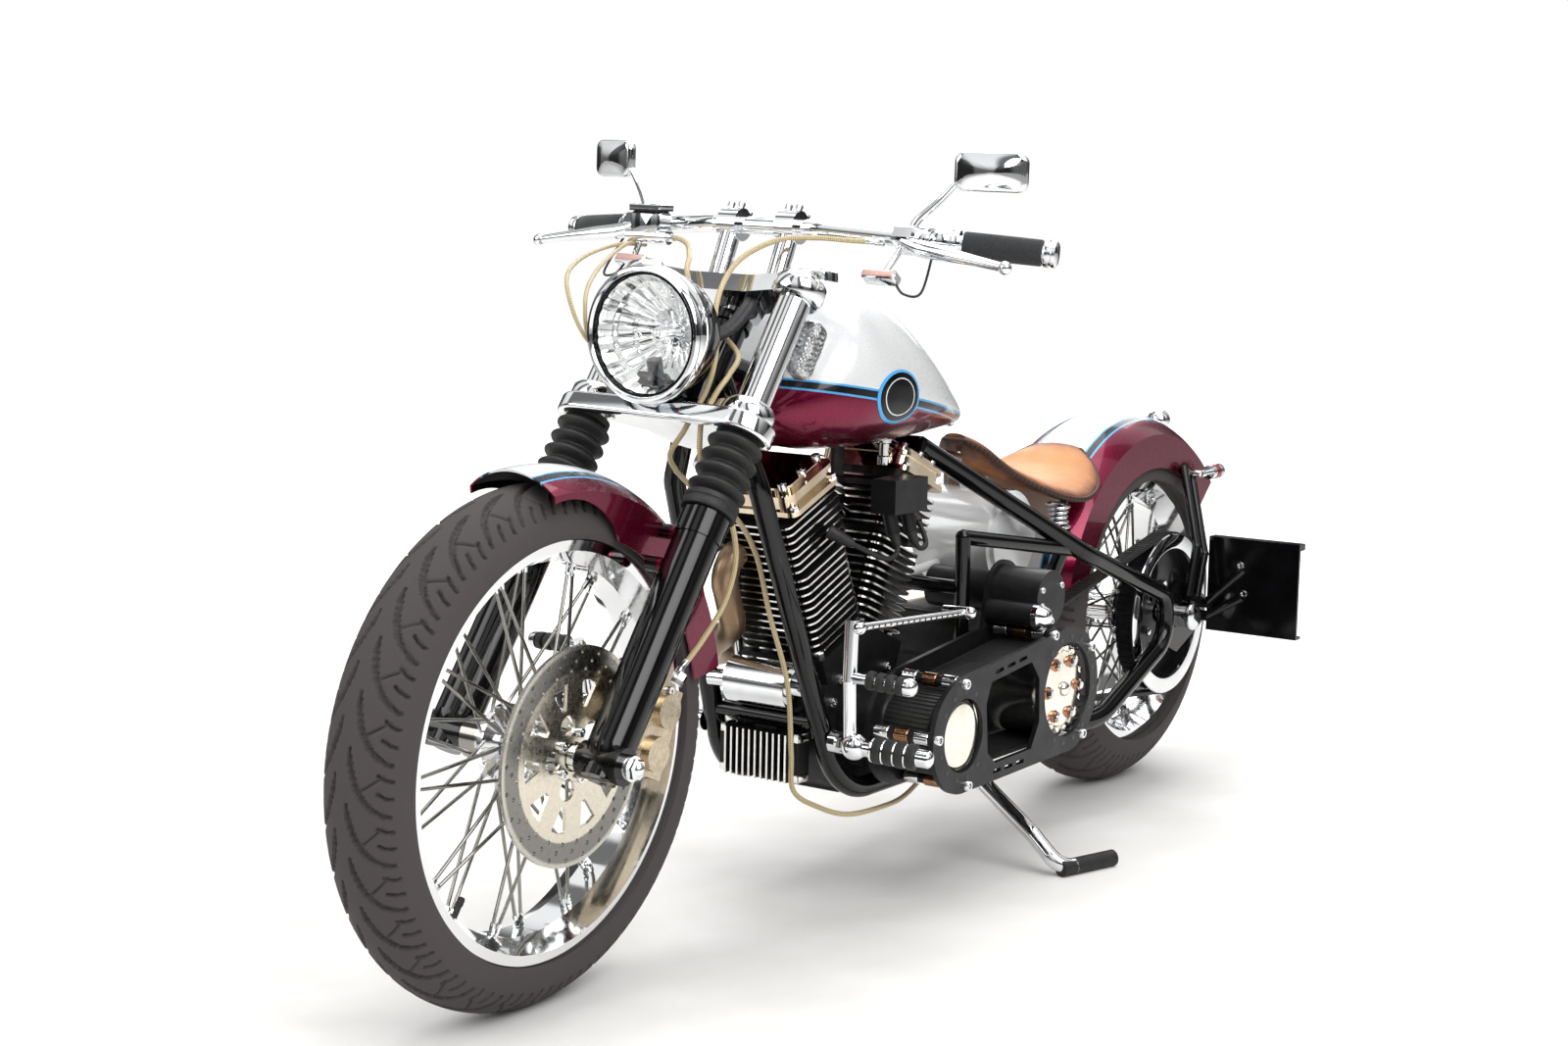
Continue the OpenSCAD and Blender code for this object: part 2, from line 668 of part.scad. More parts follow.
// Frame
neck_low = lower_clamp_s + clamp_t / 2 + 8;
neck_high = upper_clamp_s - clamp_t / 2 - 8;
module head_space() {
  translate([head_x, 0, head_z]) rotate([0, -rake, 0]) children();
}
function head_point(s) = [head_x - s * sin(rake), 0, head_z + s * cos(rake)];
stand_axis = unit([-0.05, 0.30, 0.95]);
stand_at = [655, 118, 140];
module axle_plate() {
  upright_plate(stay_half - axle_plate_t / 2, stay_half + axle_plate_t / 2)
    polygon([[52, 275], [52, 385], [20, 396], [-88, 356], [-96, 332], [-88, 306], [20, 262]]);
}
// Backbone tube under the fuel tank
backbone_end = [735, 0, 690];
function backbone_z(x) = lerp(backbone_end[2], head_point(632)[2], (x - backbone_end[0]) / (head_point(632)[0] - backbone_end[0]));
module backbone(r) {
  rod(head_point(632), backbone_end, r);
}
module frame() {
  color("#141416") parked() difference() {
    union() {
      head_space() translate([0, 0, neck_low]) cylinder(h = neck_high - neck_low, r = 28);
      for (s = [neck_low, neck_high - 14]) head_space() translate([0, 0, s]) cylinder(h = 14, r = 32);
      backbone(19);
      rod([735, -42, 684], [735, 42, 684], tube_r);
      both_sides() {
        bent_tube(cradle, cradle_bends, tube_r);
        rod(seat_tube[0], seat_tube[1], post_r);
        rod(seat_tube[0], [seat_tube[0][0], rail_half - 4, 190], post_r);
        translate(seat_tube[0]) sphere(post_r + bend_proud);
        rod([396, 122, 492], post_knee, post_r);
        rod(post_knee, [468, 84, 192], post_r);
        translate(post_knee) sphere(post_r + bend_proud);
        rod([spring_at[0], 140, 494], spring_at - [0, 0, 6], 9);
        translate(spring_at - [0, 0, 8]) cylinder(h = 8, r = 22);
        axle_plate();
      }
      for (x = [800, 470]) rod([x, -rail_half, 190], [x, rail_half, 190], 14);
      rod([1094, -98, 301], [1094, 98, 301], 11);
      rod([692, -98, 455], [692, 98, 455], post_r);
      rod([655, 104, 186], stand_at + stand_axis * 20, 9);
      translate(stand_at) rotate([0, acos(stand_axis[2]), atan2(stand_axis[1], stand_axis[0])]) {
        translate([0, 0, 13]) cylinder(h = 14, r = 22);
        translate([0, 0, -18]) cylinder(h = 40, r = 8);
      }
    }
    head_space() translate([0, 0, neck_low - 60]) cylinder(h = neck_high - neck_low + 120, r = stem_r + run);
    across(0, rear_axle_z, -300, 300, axle_r + gap);
  }
}
module rear_axle() {
  color("silver") parked() {
    across(0, rear_axle_z, -stay_half - 24, stay_half + 24, axle_r);
    both_sides() across(0, rear_axle_z, stay_half + axle_plate_t / 2 + gap, stay_half + 20, 22);
    across(0, rear_axle_z, belt_out + 5, stay_half - axle_plate_t / 2 - gap, 18);
    across(0, rear_axle_z, -stay_half + axle_plate_t / 2 + gap, -rear_hub_right - gap - 6, 18);
  }
}

// Engine, in the upright frame; cylinder space has Z up the bore from the crank
module on_cylinder(way) {
  parked() translate([crank[0], 0, crank[1]]) rotate([0, way * vee / 2, 0]) children();
}
module fin(x_half, y_half, corner) {
  square([2 * x_half, 2 * (y_half - corner)], center = true);
  square([2 * (x_half - corner), 2 * y_half], center = true);
  for (sx = [1, -1], sy = [1, -1]) translate([sx * (x_half - corner), sy * (y_half - corner)]) circle(corner);
}
module cylinder_and_head() {
  barrel_pitch = (barrel_top - deck - 14) / barrel_fins;
  head_pitch = (head_top - barrel_top - 10) / head_fins;
  translate([0, 0, deck]) cylinder(h = head_top - deck, r = 52);
  translate([0, 0, barrel_top - 2]) linear_extrude(height = head_top - barrel_top + 2) fin(48, 58, 12);
  for (i = [0 : barrel_fins - 1]) translate([0, 0, deck + 12 + barrel_pitch * i])
    linear_extrude(height = fin_t) fin(fin_half - 6, fin_half, 22);
  for (i = [0 : head_fins - 1]) translate([0, 0, barrel_top + 4 + head_pitch * i])
    linear_extrude(height = fin_t) fin(fin_half - 2, fin_half, 14);
}
// Fins are cut back where the two cylinders lean against each other
module finned_cylinder(way) {
  parked() translate([crank[0], 0, crank[1]]) difference() {
    rotate([0, way * vee / 2, 0]) cylinder_and_head();
    translate([way > 0 ? -200 + gap : -gap, -100, 0]) cube([200, 200, 400]);
  }
}
module front_cylinder() {
  color("#202022") finned_cylinder(1);
}
module rear_cylinder() {
  color("#202022") finned_cylinder(-1);
}
module rocker_boxes() {
  color("silver") for (way = [1, -1]) on_cylinder(way) translate([0, 0, head_top]) {
    linear_extrude(height = 8) fin(64, 88, 14);
    translate([0, 0, 8]) linear_extrude(height = 18) fin(60, 78, 18);
    translate([0, 0, 26]) linear_extrude(height = 6) fin(64, 82, 18);
    translate([0, 0, 32]) linear_extrude(height = 9) fin(54, 72, 20);
  }
}
module case_outline() {
  circle(116, $fn = 96);
  for (way = [1, -1]) rotate(-way * vee / 2) translate([-62, 0]) square([124, deck - gap]);
  polygon([[-190, -70], [-100, -96], [60, -104], [60, 60], [-120, 60], [-190, 10]]);
}
module engine_case() {
  color("#3a3b3d") parked() difference() {
    union() {
      translate([crank[0], 0, crank[1]]) upright_plate(-engine_half, engine_half) case_outline();
      across(crank[0], crank[1], engine_half - 1, plate_y - gap, 72);
      translate([1030, -40, 285]) cube([53 - gap, 80, 32]);
    }
    rod([800, -200, 190], [800, 200, 190], 14 + gap);
    for (way = [1, -1]) translate([crank[0], 0, crank[1]]) rotate([0, way * vee / 2, 0])
      translate([-90, -90, deck]) cube([180, 180, 200]);
  }
}
module pushrod_tubes() {
  color("silver") parked() {
    across(crank[0], crank[1] + 20, -118, -engine_half - gap, 78);
    for (way = [1, -1]) across(crank[0] + way * 74, crank[1] + 24, -112, -engine_half - gap, 48);
    for (way = [1, -1], k = [0, 1])
      rod([crank[0] + way * (34 + 40 * k), -96, crank[1] + 60],
        [crank[0] + way * (158 + 4 * k - 26 + 34 * k), -84.5, crank[1] + 352 - 26 * k], 8.5);
  }
}
// Distance of the ports from the bore
port_out = fin_half - 2 + gap;
// Intake port on the inner flank of a head, and the height where both runners meet
intake_d = 312;
function intake_port(way) = [
  crank[0] + way * (intake_d * sin(vee / 2) - port_out * cos(vee / 2)), -6,
  crank[1] + intake_d * cos(vee / 2) + port_out * sin(vee / 2)
];
intake_z = intake_port(1)[2] + (intake_port(1)[0] - crank[0]) * tan(vee / 2);
module air_cleaner() {
  color("silver") parked() {
    across(crank[0], intake_z, -150, 20, 24);
    across(crank[0], intake_z, -205, -150, 80);
    across(crank[0], intake_z, -211, -205, 68);
    for (way = [1, -1]) rod([crank[0], -6, intake_z], intake_port(way), 19);
  }
}
// Exhaust port of a head, a distance out from the bore
port_d = 320;
function port(way, out) = [
  crank[0] + way * (port_d * sin(vee / 2) + out * cos(vee / 2)), -30,
  crank[1] + port_d * cos(vee / 2) - out * sin(vee / 2)
];
pipe_r = 20;
front_pipe = [
  port(1, port_out), port(1, port_out + 42), [1110, -50, 432], [1064, -130, 384], [960, -206, 348], [140, -206, 338]
];
rear_pipe = [
  port(-1, port_out), port(-1, port_out + 30), [728, -122, 494], [672, -204, 424], [560, -206, 402], [140, -206, 394]
];
module exhaust_pipes() {
  color("#8a6a48") parked() {
    bent_tube(front_pipe, [34, 55, 70, 120], pipe_r);
    bent_tube(rear_pipe, [24, 40, 60, 110], pipe_r);
    rod([420, -206, 352], [420, -206, 384], 8);
    rod([420, -190, 342], [420, -107, 342], 7);
  }
}
module oil_filter() {
  color("silver") parked() difference() {
    union() {
      across(1104, 352, -48, 62, 37);
      across(1104, 352, 62, 68, 30);
      across(1104, 352, 68, 80, 14);
      rod([1112, -48, 352], [1118, -87, 352], 13);
    }
    both_sides() bent_tube(cradle, cradle_bends, tube_r + gap);
  }
}
module oil_cooler() {
  color("#26272a") parked() {
    translate([1096, 0, 245]) {
      for (i = [-5 : 5]) translate([-20, i * 11 - 1.5, -36]) cube([44, 3, 72]);
      for (z = [-22, 0, 22]) translate([0, 0, z]) across(0, 0, -68, 68, 9);
      translate([-26, -20, 30]) cube([24, 40, 10 - gap]);
      for (side = [1, -1]) translate([-14, side > 0 ? 62 : -72, -34]) cube([28, 10, 68]);
    }
  }
}
module ignition_coil() {
  color("#1b1b1d") parked() {
    translate([868, 92, 602]) cube([92, 44, 52]);
    for (x = [890, 938]) rod([x, 112, 603], [x - 4, 118, 570], 11);
    translate([900, -3, 640]) cube([28, 96, 6]);
    translate([900, -3, 640]) cube([28, 6, 78.9]);
  }
}
module transmission() {
  color("#2b2c2e") parked() {
    translate([505, -70, 212]) cube([130, 140, 188]);
    across(clutch[0] - 10, 360, -70, 70, 44);
    across(clutch[0], clutch[1], 60, belt_in - 2, 30);
    across(clutch[0], clutch[1], belt_in - 2, belt_out, 46);
    across(clutch[0], clutch[1], belt_out, plate_y - gap, 30);
    translate([500, -60, 204.3]) cube([20, 120, 10]);
  }
}
starter_at = [638, 446];
module starter() {
  color("#1a1a1c") parked() {
    across(starter_at[0], starter_at[1], 14, plate_y - gap, 34);
    across(starter_at[0], starter_at[1], plate_y + plate_t + gap, 232, 46);
    across(starter_at[0] + 44, starter_at[1] - 22, plate_y + plate_t + gap, 236, 20);
  }
}

// Primary drive on the left
module primary_plate() {
  color("#1a1a1c") parked() {
    upright_plate(plate_y, plate_y + plate_t) {
      wrap(crank, guard_front_r + 2, clutch, guard_rear_r + 6);
      translate(starter_at) circle(54);
      polygon([[starter_at[0] - 54, starter_at[1]], [clutch[0] - 70, clutch[1] + 60], [clutch[0] + 90, clutch[1] + 60],
        [starter_at[0] + 54, starter_at[1]]]);
    }
    for (p = guard_posts) across(p[0], p[1], plate_y + plate_t, guard_y - gap, 8);
  }
}
// Posts that carry the guard: centre, distance from it, angle
guard_post_rows = [
  [crank, 79, 5], [crank, 79, 88], [crank, 79, 262], [clutch, 94, 238], [clutch, 94, 140], [clutch, 110.7, 60.2]
];
guard_posts = [for (row = guard_post_rows) row[0] + row[1] * [cos(row[2]), sin(row[2])]];
clutch_r = 78;
primary_belt_t = 6;
module primary_pulleys() {
  color("silver") parked() {
    across(crank[0], crank[1], plate_y + plate_t + gap, 236, 58);
    across(crank[0], crank[1], 236, 240, 64);
    across(crank[0], crank[1], 240, 250, 52);
    across(clutch[0], clutch[1], plate_y + plate_t + gap, 236, clutch_r);
    across(clutch[0], clutch[1], 236, 244, 70);
    for (i = [0 : 5]) translate([clutch[0], 0, clutch[1]]) rotate([0, 60 * i, 0]) across(48, 0, 244, 254, 8);
  }
}
module primary_belt() {
  color("#1d1d1d") parked() upright_plate(plate_y + plate_t + 6, 232) difference() {
    wrap(crank, 58 + primary_belt_t, clutch, clutch_r + primary_belt_t);
    wrap(crank, 58 + gap, clutch, clutch_r + gap);
  }
}
module primary_guard() {
  color("#18181a") parked() upright_plate(guard_y, guard_y + guard_t) difference() {
    union() {
      wrap(crank, guard_front_r, clutch, guard_rear_r);
      translate(guard_posts[5]) circle(14);
    }
    translate(crank) circle(56);
    translate(clutch) circle(76);
    polygon([[742, 362], [716, 332], [712, 262], [736, 223], [848, 221], [872, 240], [880, 318], [866, 349]]);
    for (x = [770, 806, 842]) {
      translate([x, 391 - (x - 620) * 0.1 - 5]) rotate(-5.7) square([24, 6], center = true);
      translate([x, 208]) square([24, 6], center = true);
    }
  }
}
module final_belt() {
  color("#1d1d1d") parked() upright_plate(belt_in, belt_out - 1) difference() {
    wrap([0, rear_axle_z], rear_pulley_r + 6, clutch, 52);
    wrap([0, rear_axle_z], rear_pulley_r + 1, clutch, 46 + gap);
  }
}

// Bodywork
module fuel_tank() {
  sides = 28;
  color("#d9d9d6") parked() difference() {
    skin([for (ring = tank_rings) [for (j = [0 : sides - 1])
      let (a = -360 * j / sides, up = sin(a) > 0 ? ring[4] - ring[3] : ring[3] - ring[2])
      [ring[0], tank_half * ring[1] * power(cos(a), 0.86), ring[3] + up * power(sin(a), 0.86)]]]);
    upright_plate(-27, 27) polygon([[560, 600], [1260, 600], [1260, 884], [1190, 868], [700, 716], [560, 712]]);
  }
  color("#d9d9d6") parked() difference() {
    for (x = [800, 1090]) translate([x, -29, backbone_z(x)]) cube([24, 58, 48]);
    backbone(19 + gap);
  }
}
module oil_tank() {
  color("#d9d9d6") parked() {
    across(492, 512, -72, 72, 82);
    both_sides() across(492, 512, 72, 80, 70);
    across(492, 598, -20, 20, 16);
    rod([560, -30, 470], [679, -30, 458], 8);
  }
}
module seat() {
  sides = 20;
  color("#b98a5a") parked() skin([for (ring = seat_rings) [for (j = [0 : sides - 1])
    let (a = -360 * j / sides, c = power(cos(a), 0.7), s = power(sin(a), 0.7))
    [ring[0], ring[1] * c, ring[2] + ring[3] * (s + 1) / 2 - ring[4] * c * c]]]);
}
// Saddle spring: a coil that is wider at its ends
module saddle_spring() {
  wire = 3.2;
  turns = 5;
  steps = 60;
  sides = 8;
  function coil(t) = let (r = 13 + 7 * pow(2 * t - 1, 2), a = 360 * turns * t)
    [r * cos(a), r * sin(a), wire + gap + t * (spring_h - 2 * wire - 2 * gap)];
  q = [for (i = [0 : steps]) coil(i / steps)];
  skin([for (i = [0 : steps]) let (out = unit([q[i][0], q[i][1], 0]))
    [for (j = [0 : sides - 1]) q[i] + wire * (cos(360 * j / sides) * out - sin(360 * j / sides) * [0, 0, 1])]]);
}
module seat_springs() {
  color("silver") parked() {
    both_sides() translate(spring_at) saddle_spring();
    rod([719.3, 0, 679], [548, 0, 649.4], 8);
    rod([552, 0, 647], [552, 0, 659.4], 6);
  }
}
rear_fender_r = rear_tyre_r + fender_gap + 4;
rear_fender_half = rear_tyre_half + 9;
module rear_fender() {
  color("#7a1f2b") parked() translate([0, 0, rear_axle_z])
    fender_arc(rear_fender_r, rear_fender_half, 98, 14, 138);
}
strut_low = [-34, stay_half + axle_plate_t / 2 + 9 + gap, 352];
strut_mid = [-62, strut_low[1], 436];
strut_high = [-134, rear_fender_half + fender_t + 9 + gap, 572];
module fender_struts() {
  color("#141416") parked() both_sides() {
    for (step = [0, 34]) {
      rod(strut_low + [step, 0, step / 3], strut_mid + [step, 0, step / 2], 8);
      rod(strut_mid + [step, 0, step / 2], strut_high + [step, 0, step / 2], 8);
      translate(strut_mid + [step, 0, step / 2]) sphere(8 + bend_proud);
    }
    rod(strut_high + [36, 0, 18], strut_high + [-4, 0, -2], 8.6);
    rod(strut_low + [36, 0, 12], strut_low + [-4, 0, -1.3], 8.6);
    across(strut_high[0] + 16, strut_high[2] + 8, strut_high[1] - 9, strut_high[1], 7);
    across(strut_low[0] + 16, strut_low[2] + 5, strut_low[1] - 9, strut_low[1], 7);
  }
}
module rear_lamps() {
  ball = [-204, 0, 664];
  stem = norm(ball - [0, 0, rear_axle_z]) - rear_fender_r - fender_t - gap;
  color("silver") parked() {
    translate(ball) sphere(22);
    rod(ball, ball + stem * unit([204, 0, rear_axle_z - 664]), 9);
    both_sides() {
      rod(strut_high + [-26, 22, 4], strut_high + [-72, 22, 4], 13);
      across(strut_high[0] + 8, strut_high[2] + 4, strut_high[1] + 8.9, strut_high[1] + 22, 6);
      rod(strut_high + [8, 22, 4], strut_high + [-30, 22, 4], 6);
    }
  }
}
module plate_holder() {
  color("#141416") parked() {
    translate([-84, 174, 292]) cube([6, 178, 176]);
    translate([-104, 174, 456]) cube([22, 178, 12]);
    translate([-100, 174, 292]) cube([18, 178, 5]);
    for (arm = [[-76, 343, 412], [-76, 318, 360]]) {
      face = stay_half + axle_plate_t / 2 + gap;
      across(arm[0], arm[1], face, face + 16, 10);
      rod([arm[0], face + 10, arm[1]], [-80, 244, arm[2]], 8);
    }
  }
}
module rear_caliper() {
  color("#1b1b1d") parked() difference() {
    union() {
      translate([78, -142, rear_axle_z + 30]) cube([58, 62, 96]);
      rod([70, -136, rear_axle_z + 40], [10, -140, rear_axle_z + 4], 10);
    }
    across(0, rear_axle_z, -rear_hub_right - 12, -rear_hub_right + 6, rear_disc_r + 5.5);
    across(0, rear_axle_z, -200, 0, 22);
    both_sides() bent_tube(cradle, cradle_bends, tube_r + gap);
  }
}

// Forward foot controls
peg_in = [1226, 246, 312];
peg_out = [1206, 356, 306];
peg_end_r = 12.5;
module control_bracket(side) {
  function at(p) = [p[0], side * p[1], p[2]];
  rod(at([1086, 116.8, 276]), at([1086, 142, 276]), 17);
  rod(at([1086, 132, 276]), at(peg_in), 13);
  translate(at(peg_in)) sphere(19);
  rod(at(lerp(peg_in, peg_out, 0.1)), at(lerp(peg_in, peg_out, 0.87)), 11.5);
  rod(at(lerp(peg_in, peg_out, 0.85)), at(peg_out), peg_end_r);
  for (k = [0 : 3])
    rod(at(lerp(peg_in, peg_out, 0.28 + 0.15 * k)), at(lerp(peg_in, peg_out, 0.38 + 0.15 * k)), 17);
}
module foot_controls() {
  color("silver") parked() {
    control_bracket(1);
    control_bracket(-1);
    rod(peg_in + [0, -8, 12], [1230, 238, 412], 9);
    rod([1230, 238, 404], [1224, 236, 490], 10);
    rod([1230, 238, 411], [1216, 330, 405], 8);
    rod([1226, 236, 478], [862, 205, 450], 6);
    rod([862, 212, 450], [862, 168, 448], 9.5);
    rod(flip(peg_in) + [0, 8, 12], [1248, -238, 408], 9);
    rod([1248, -230, 400], [1240, -330, 396], 8);
  }
}

// Side stand, resting on the floor
module side_stand() {
  foot_r = 13;
  knee = [702, 300, floor_z(300) + foot_r];
  toe = [600, 336, floor_z(336) + foot_r];
  color("silver") parked() difference() {
    union() {
      translate(stand_at) rotate([0, acos(stand_axis[2]), atan2(stand_axis[1], stand_axis[0])])
        translate([0, 0, -14]) cylinder(h = 26, r = 20);
      bent_tube([stand_at, [688, 240, 72], knee, toe], [60, 30], foot_r);
    }
    translate(stand_at) rotate([0, acos(stand_axis[2]), atan2(stand_axis[1], stand_axis[0])])
      translate([0, 0, -60]) cylinder(h = 120, r = 8 + run);
  }
}

front_tyre();
front_wire_wheel();
front_disc();
front_axle();
fork_sliders();
fork_gaiters();
fork_tubes();
triple_clamps();
headlamp_shell();
headlamp_lens();
handlebar();
bar_risers();
grips();
hand_controls();
mirrors();
front_signals();
front_caliper();
front_fender();
brake_hose();
clutch_cable_upper();
frame();
engine_case();
front_cylinder();
rear_cylinder();
rocker_boxes();
pushrod_tubes();
air_cleaner();
exhaust_pipes();
oil_filter();
oil_cooler();
ignition_coil();
transmission();
starter();
primary_plate();
primary_pulleys();
primary_belt();
primary_guard();
final_belt();
fuel_tank();
oil_tank();
seat();
seat_springs();
rear_fender();
fender_struts();
rear_lamps();
plate_holder();
rear_caliper();
rear_axle();
foot_controls();
clutch_cable_lower();
rear_tyre();
rear_wire_wheel();
rear_pulley();
rear_disc();
side_stand();
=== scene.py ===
"""Looks of a rigid-frame bobber motorcycle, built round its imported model."""

import logging
import math
from dataclasses import dataclass, field
from enum import Enum

import bmesh
import bpy
import numpy as np
from mathutils import Matrix


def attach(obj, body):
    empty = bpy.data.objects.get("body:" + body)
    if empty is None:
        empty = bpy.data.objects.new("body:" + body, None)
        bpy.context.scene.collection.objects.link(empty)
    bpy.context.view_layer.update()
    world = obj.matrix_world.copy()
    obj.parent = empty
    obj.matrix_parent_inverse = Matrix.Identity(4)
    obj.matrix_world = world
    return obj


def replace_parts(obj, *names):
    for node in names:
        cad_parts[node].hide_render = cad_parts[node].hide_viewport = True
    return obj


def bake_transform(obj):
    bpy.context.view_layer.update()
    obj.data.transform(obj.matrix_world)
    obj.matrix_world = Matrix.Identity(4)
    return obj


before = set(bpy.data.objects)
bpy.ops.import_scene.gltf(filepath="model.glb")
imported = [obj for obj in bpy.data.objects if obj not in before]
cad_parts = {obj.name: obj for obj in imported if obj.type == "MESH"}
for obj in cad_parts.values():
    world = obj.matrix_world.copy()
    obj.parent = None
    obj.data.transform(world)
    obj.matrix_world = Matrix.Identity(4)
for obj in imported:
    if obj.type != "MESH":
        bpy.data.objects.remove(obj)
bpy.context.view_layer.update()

LOG = logging.getLogger("bobber")
Array = np.ndarray
Form = tuple[Array, Array]
Point = tuple[float, float, float]
Span = tuple[float, float]
Stops = tuple[tuple[float, str], ...]
Tree = bpy.types.NodeTree
Socket = bpy.types.NodeSocket
TURN = 2 * math.pi
MM = 0.001
SHARP = 38.0


class Space(Enum):
    """Places in which pieces are drawn, in millimetres."""

    BIKE = "upright motorcycle, rear axle at x 0"
    FORK = "X ahead of the steering axis, Z up along it"
    FRONT_WHEEL = "about the front axle"
    REAR_WHEEL = "about the rear axle"
    LAMP = "headlamp, Z forward"
    FRONT_CYLINDER = "front bore, Z up from the crank"
    REAR_CYLINDER = "rear bore, Z up from the crank"


class Body(Enum):
    """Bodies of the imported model."""

    FRAME = "frame"
    STEERING = "steering"
    FRONT_WHEEL = "front_wheel"
    REAR_WHEEL = "rear_wheel"
    STAND = "side_stand"


class Blend(Enum):
    """How a colour ramp runs between its stops."""

    SMOOTH = "LINEAR"
    STEPPED = "CONSTANT"


def turn_y(degrees: float) -> Array:
    """Rotation about Y.

    Args:
        degrees: angle of the turn.

    Returns:
        A 3 by 3 matrix.
    """
    c, s = math.cos(math.radians(degrees)), math.sin(math.radians(degrees))
    return np.array([[c, 0, s], [0, 1, 0], [-s, 0, c]])


@dataclass(frozen=True)
class Stance:
    """How the parked motorcycle lies in the row frame."""

    lean: float = 3.0
    rake: float = 35.0
    steer: float = 2.4
    head: Point = (1599.8615, 0.0, 321.6366)
    fork_offset: float = 49.0
    rear_axle: Point = (0.0, 0.0, 328.1249)
    middle: Point = (831.0, 55.2028, 0.0)
    lamp: Point = (163.0, 0.0, 570.0)
    crank: Point = (945.0, 0.0, 280.0)
    half_vee: float = 22.5

    def frame_of(self, space: Space) -> tuple[Array, Array]:
        """Rotation and shift that carry a space into the row frame.

        Args:
            space: the space that a piece is drawn in.

        Returns:
            A 3 by 3 rotation and a shift in millimetres.
        """
        c, s = math.cos(math.radians(self.lean)), math.sin(math.radians(self.lean))
        over = np.array([[1, 0, 0], [0, c, s], [0, -s, c]])
        c, s = math.cos(math.radians(self.steer)), math.sin(math.radians(self.steer))
        fork = over @ turn_y(-self.rake) @ np.array([[c, -s, 0], [s, c, 0], [0, 0, 1]])
        head = over @ np.array(self.head) - np.array(self.middle)
        if space is Space.FORK:
            return fork, head
        if space is Space.FRONT_WHEEL:
            return fork, head + fork @ np.array([self.fork_offset, 0, 0])
        if space is Space.LAMP:
            return fork @ turn_y(90 + self.rake), head + fork @ np.array(self.lamp)
        if space is Space.REAR_WHEEL:
            return over, over @ np.array(self.rear_axle) - np.array(self.middle)
        if space in (Space.FRONT_CYLINDER, Space.REAR_CYLINDER):
            way = 1 if space is Space.FRONT_CYLINDER else -1
            return over @ turn_y(way * self.half_vee), over @ np.array(self.crank) - np.array(self.middle)
        return over, -np.array(self.middle)

    def place(self, points: Array, space: Space) -> Array:
        """Points of a space as row-frame points in metres."""
        turned, shift = self.frame_of(space)
        return (np.asarray(points, float) @ turned.T + shift) * MM


STANCE = Stance()
LEG_X = STANCE.fork_offset
LEG_HALF = 129.5


# Arrays that make shapes


def unit(v: Array) -> Array:
    """Vectors of length one along the last axis."""
    return v / np.linalg.norm(v, axis=-1, keepdims=True)


def table(*rows: tuple[float, ...]) -> Array:
    """Rows of numbers as one array."""
    return np.array(rows, float)


def corners(x: float, y: float, z: float) -> Array:
    """Four places at plus and minus x and y, all at one height."""
    return table((x, y, z), (x, -y, z), (-x, y, z), (-x, -y, z))


def spline(points: Array, steps: int) -> Array:
    """Catmull-Rom curve through all points.

    Each span is the cubic through its two ends with slopes taken from their neighbours.

    Args:
        points: n by k array.
        steps: samples for each span.

    Returns:
        Array of (n - 1) * steps + 1 rows.
    """
    p = np.vstack([points[:1], points, points[-1:]])
    t = np.linspace(0, 1, steps, endpoint=False)[None, :, None]
    a, b, c, d = (p[i : len(p) - 3 + i][:, None, :] for i in range(4))
    q = 0.5 * (2 * b + (c - a) * t + (2 * a - 5 * b + 4 * c - d) * t**2 + (3 * b - a - 3 * c + d) * t**3)
    return np.vstack([q.reshape(-1, points.shape[1]), points[-1:]])


def grid_faces(rows: int, cols: int, loop_rows: bool, loop_cols: bool) -> Array:
    """Quads of a grid whose points run row by row.

    Args:
        rows: number of rows.
        cols: number of columns.
        loop_rows: whether the last row joins the first.
        loop_cols: whether the last column joins the first.

    Returns:
        m by 4 array of indices.
    """
    i = np.arange(rows if loop_rows else rows - 1)[:, None]
    j = np.arange(cols if loop_cols else cols - 1)[None, :]
    i2, j2 = (i + 1) % rows, (j + 1) % cols
    return np.stack([i * cols + j, i * cols + j2, i2 * cols + j2, i2 * cols + j], -1).reshape(-1, 4)


def bases(along: Array) -> Array:
    """Frames whose third axis is the given direction.

    The first axis is square to it and to whichever of two fixed directions lies further off.

    Args:
        along: n by 3 directions.

    Returns:
        n by 3 by 3 matrices with the axes as columns.
    """
    z = unit(along)
    near = np.abs(z @ np.array([0.31, 0.53, 0.79]))[:, None] > 0.9
    ref = np.where(near, np.array([0.8, -0.6, 0.1]), np.array([0.31, 0.53, 0.79]))
    x = unit(np.cross(ref, z))
    return np.stack([x, np.cross(z, x), z], -1)


def repeat(form: Form, at: Array, turns: Array) -> Form:
    """A form set at many places, each turned by its own matrix.

    Args:
        form: points and quads about the origin.
        at: n by 3 places.
        turns: n by 3 by 3 matrices.

    Returns:
        All points and quads.
    """
    points, faces = form
    placed = at[:, None, :] + np.einsum("nij,kj->nki", turns, points)
    offsets = (np.arange(len(at)) * len(points))[:, None, None]
    return placed, (faces[None] + offsets).reshape(-1, 4)


def turned(profile: Array, sides: int) -> Form:
    """Profile of radius and height carried round the Z axis.

    Args:
        profile: k by 2 array of radius and height.
        sides: steps round the axis.

    Returns:
        Points and quads.
    """
    a = np.arange(sides)[:, None] * TURN / sides
    r, h = profile[None, :, 0], profile[None, :, 1]
    points = np.stack([r * np.cos(a), r * np.sin(a), h + 0 * a], -1).reshape(-1, 3)
    return points, grid_faces(sides, len(profile), True, False)


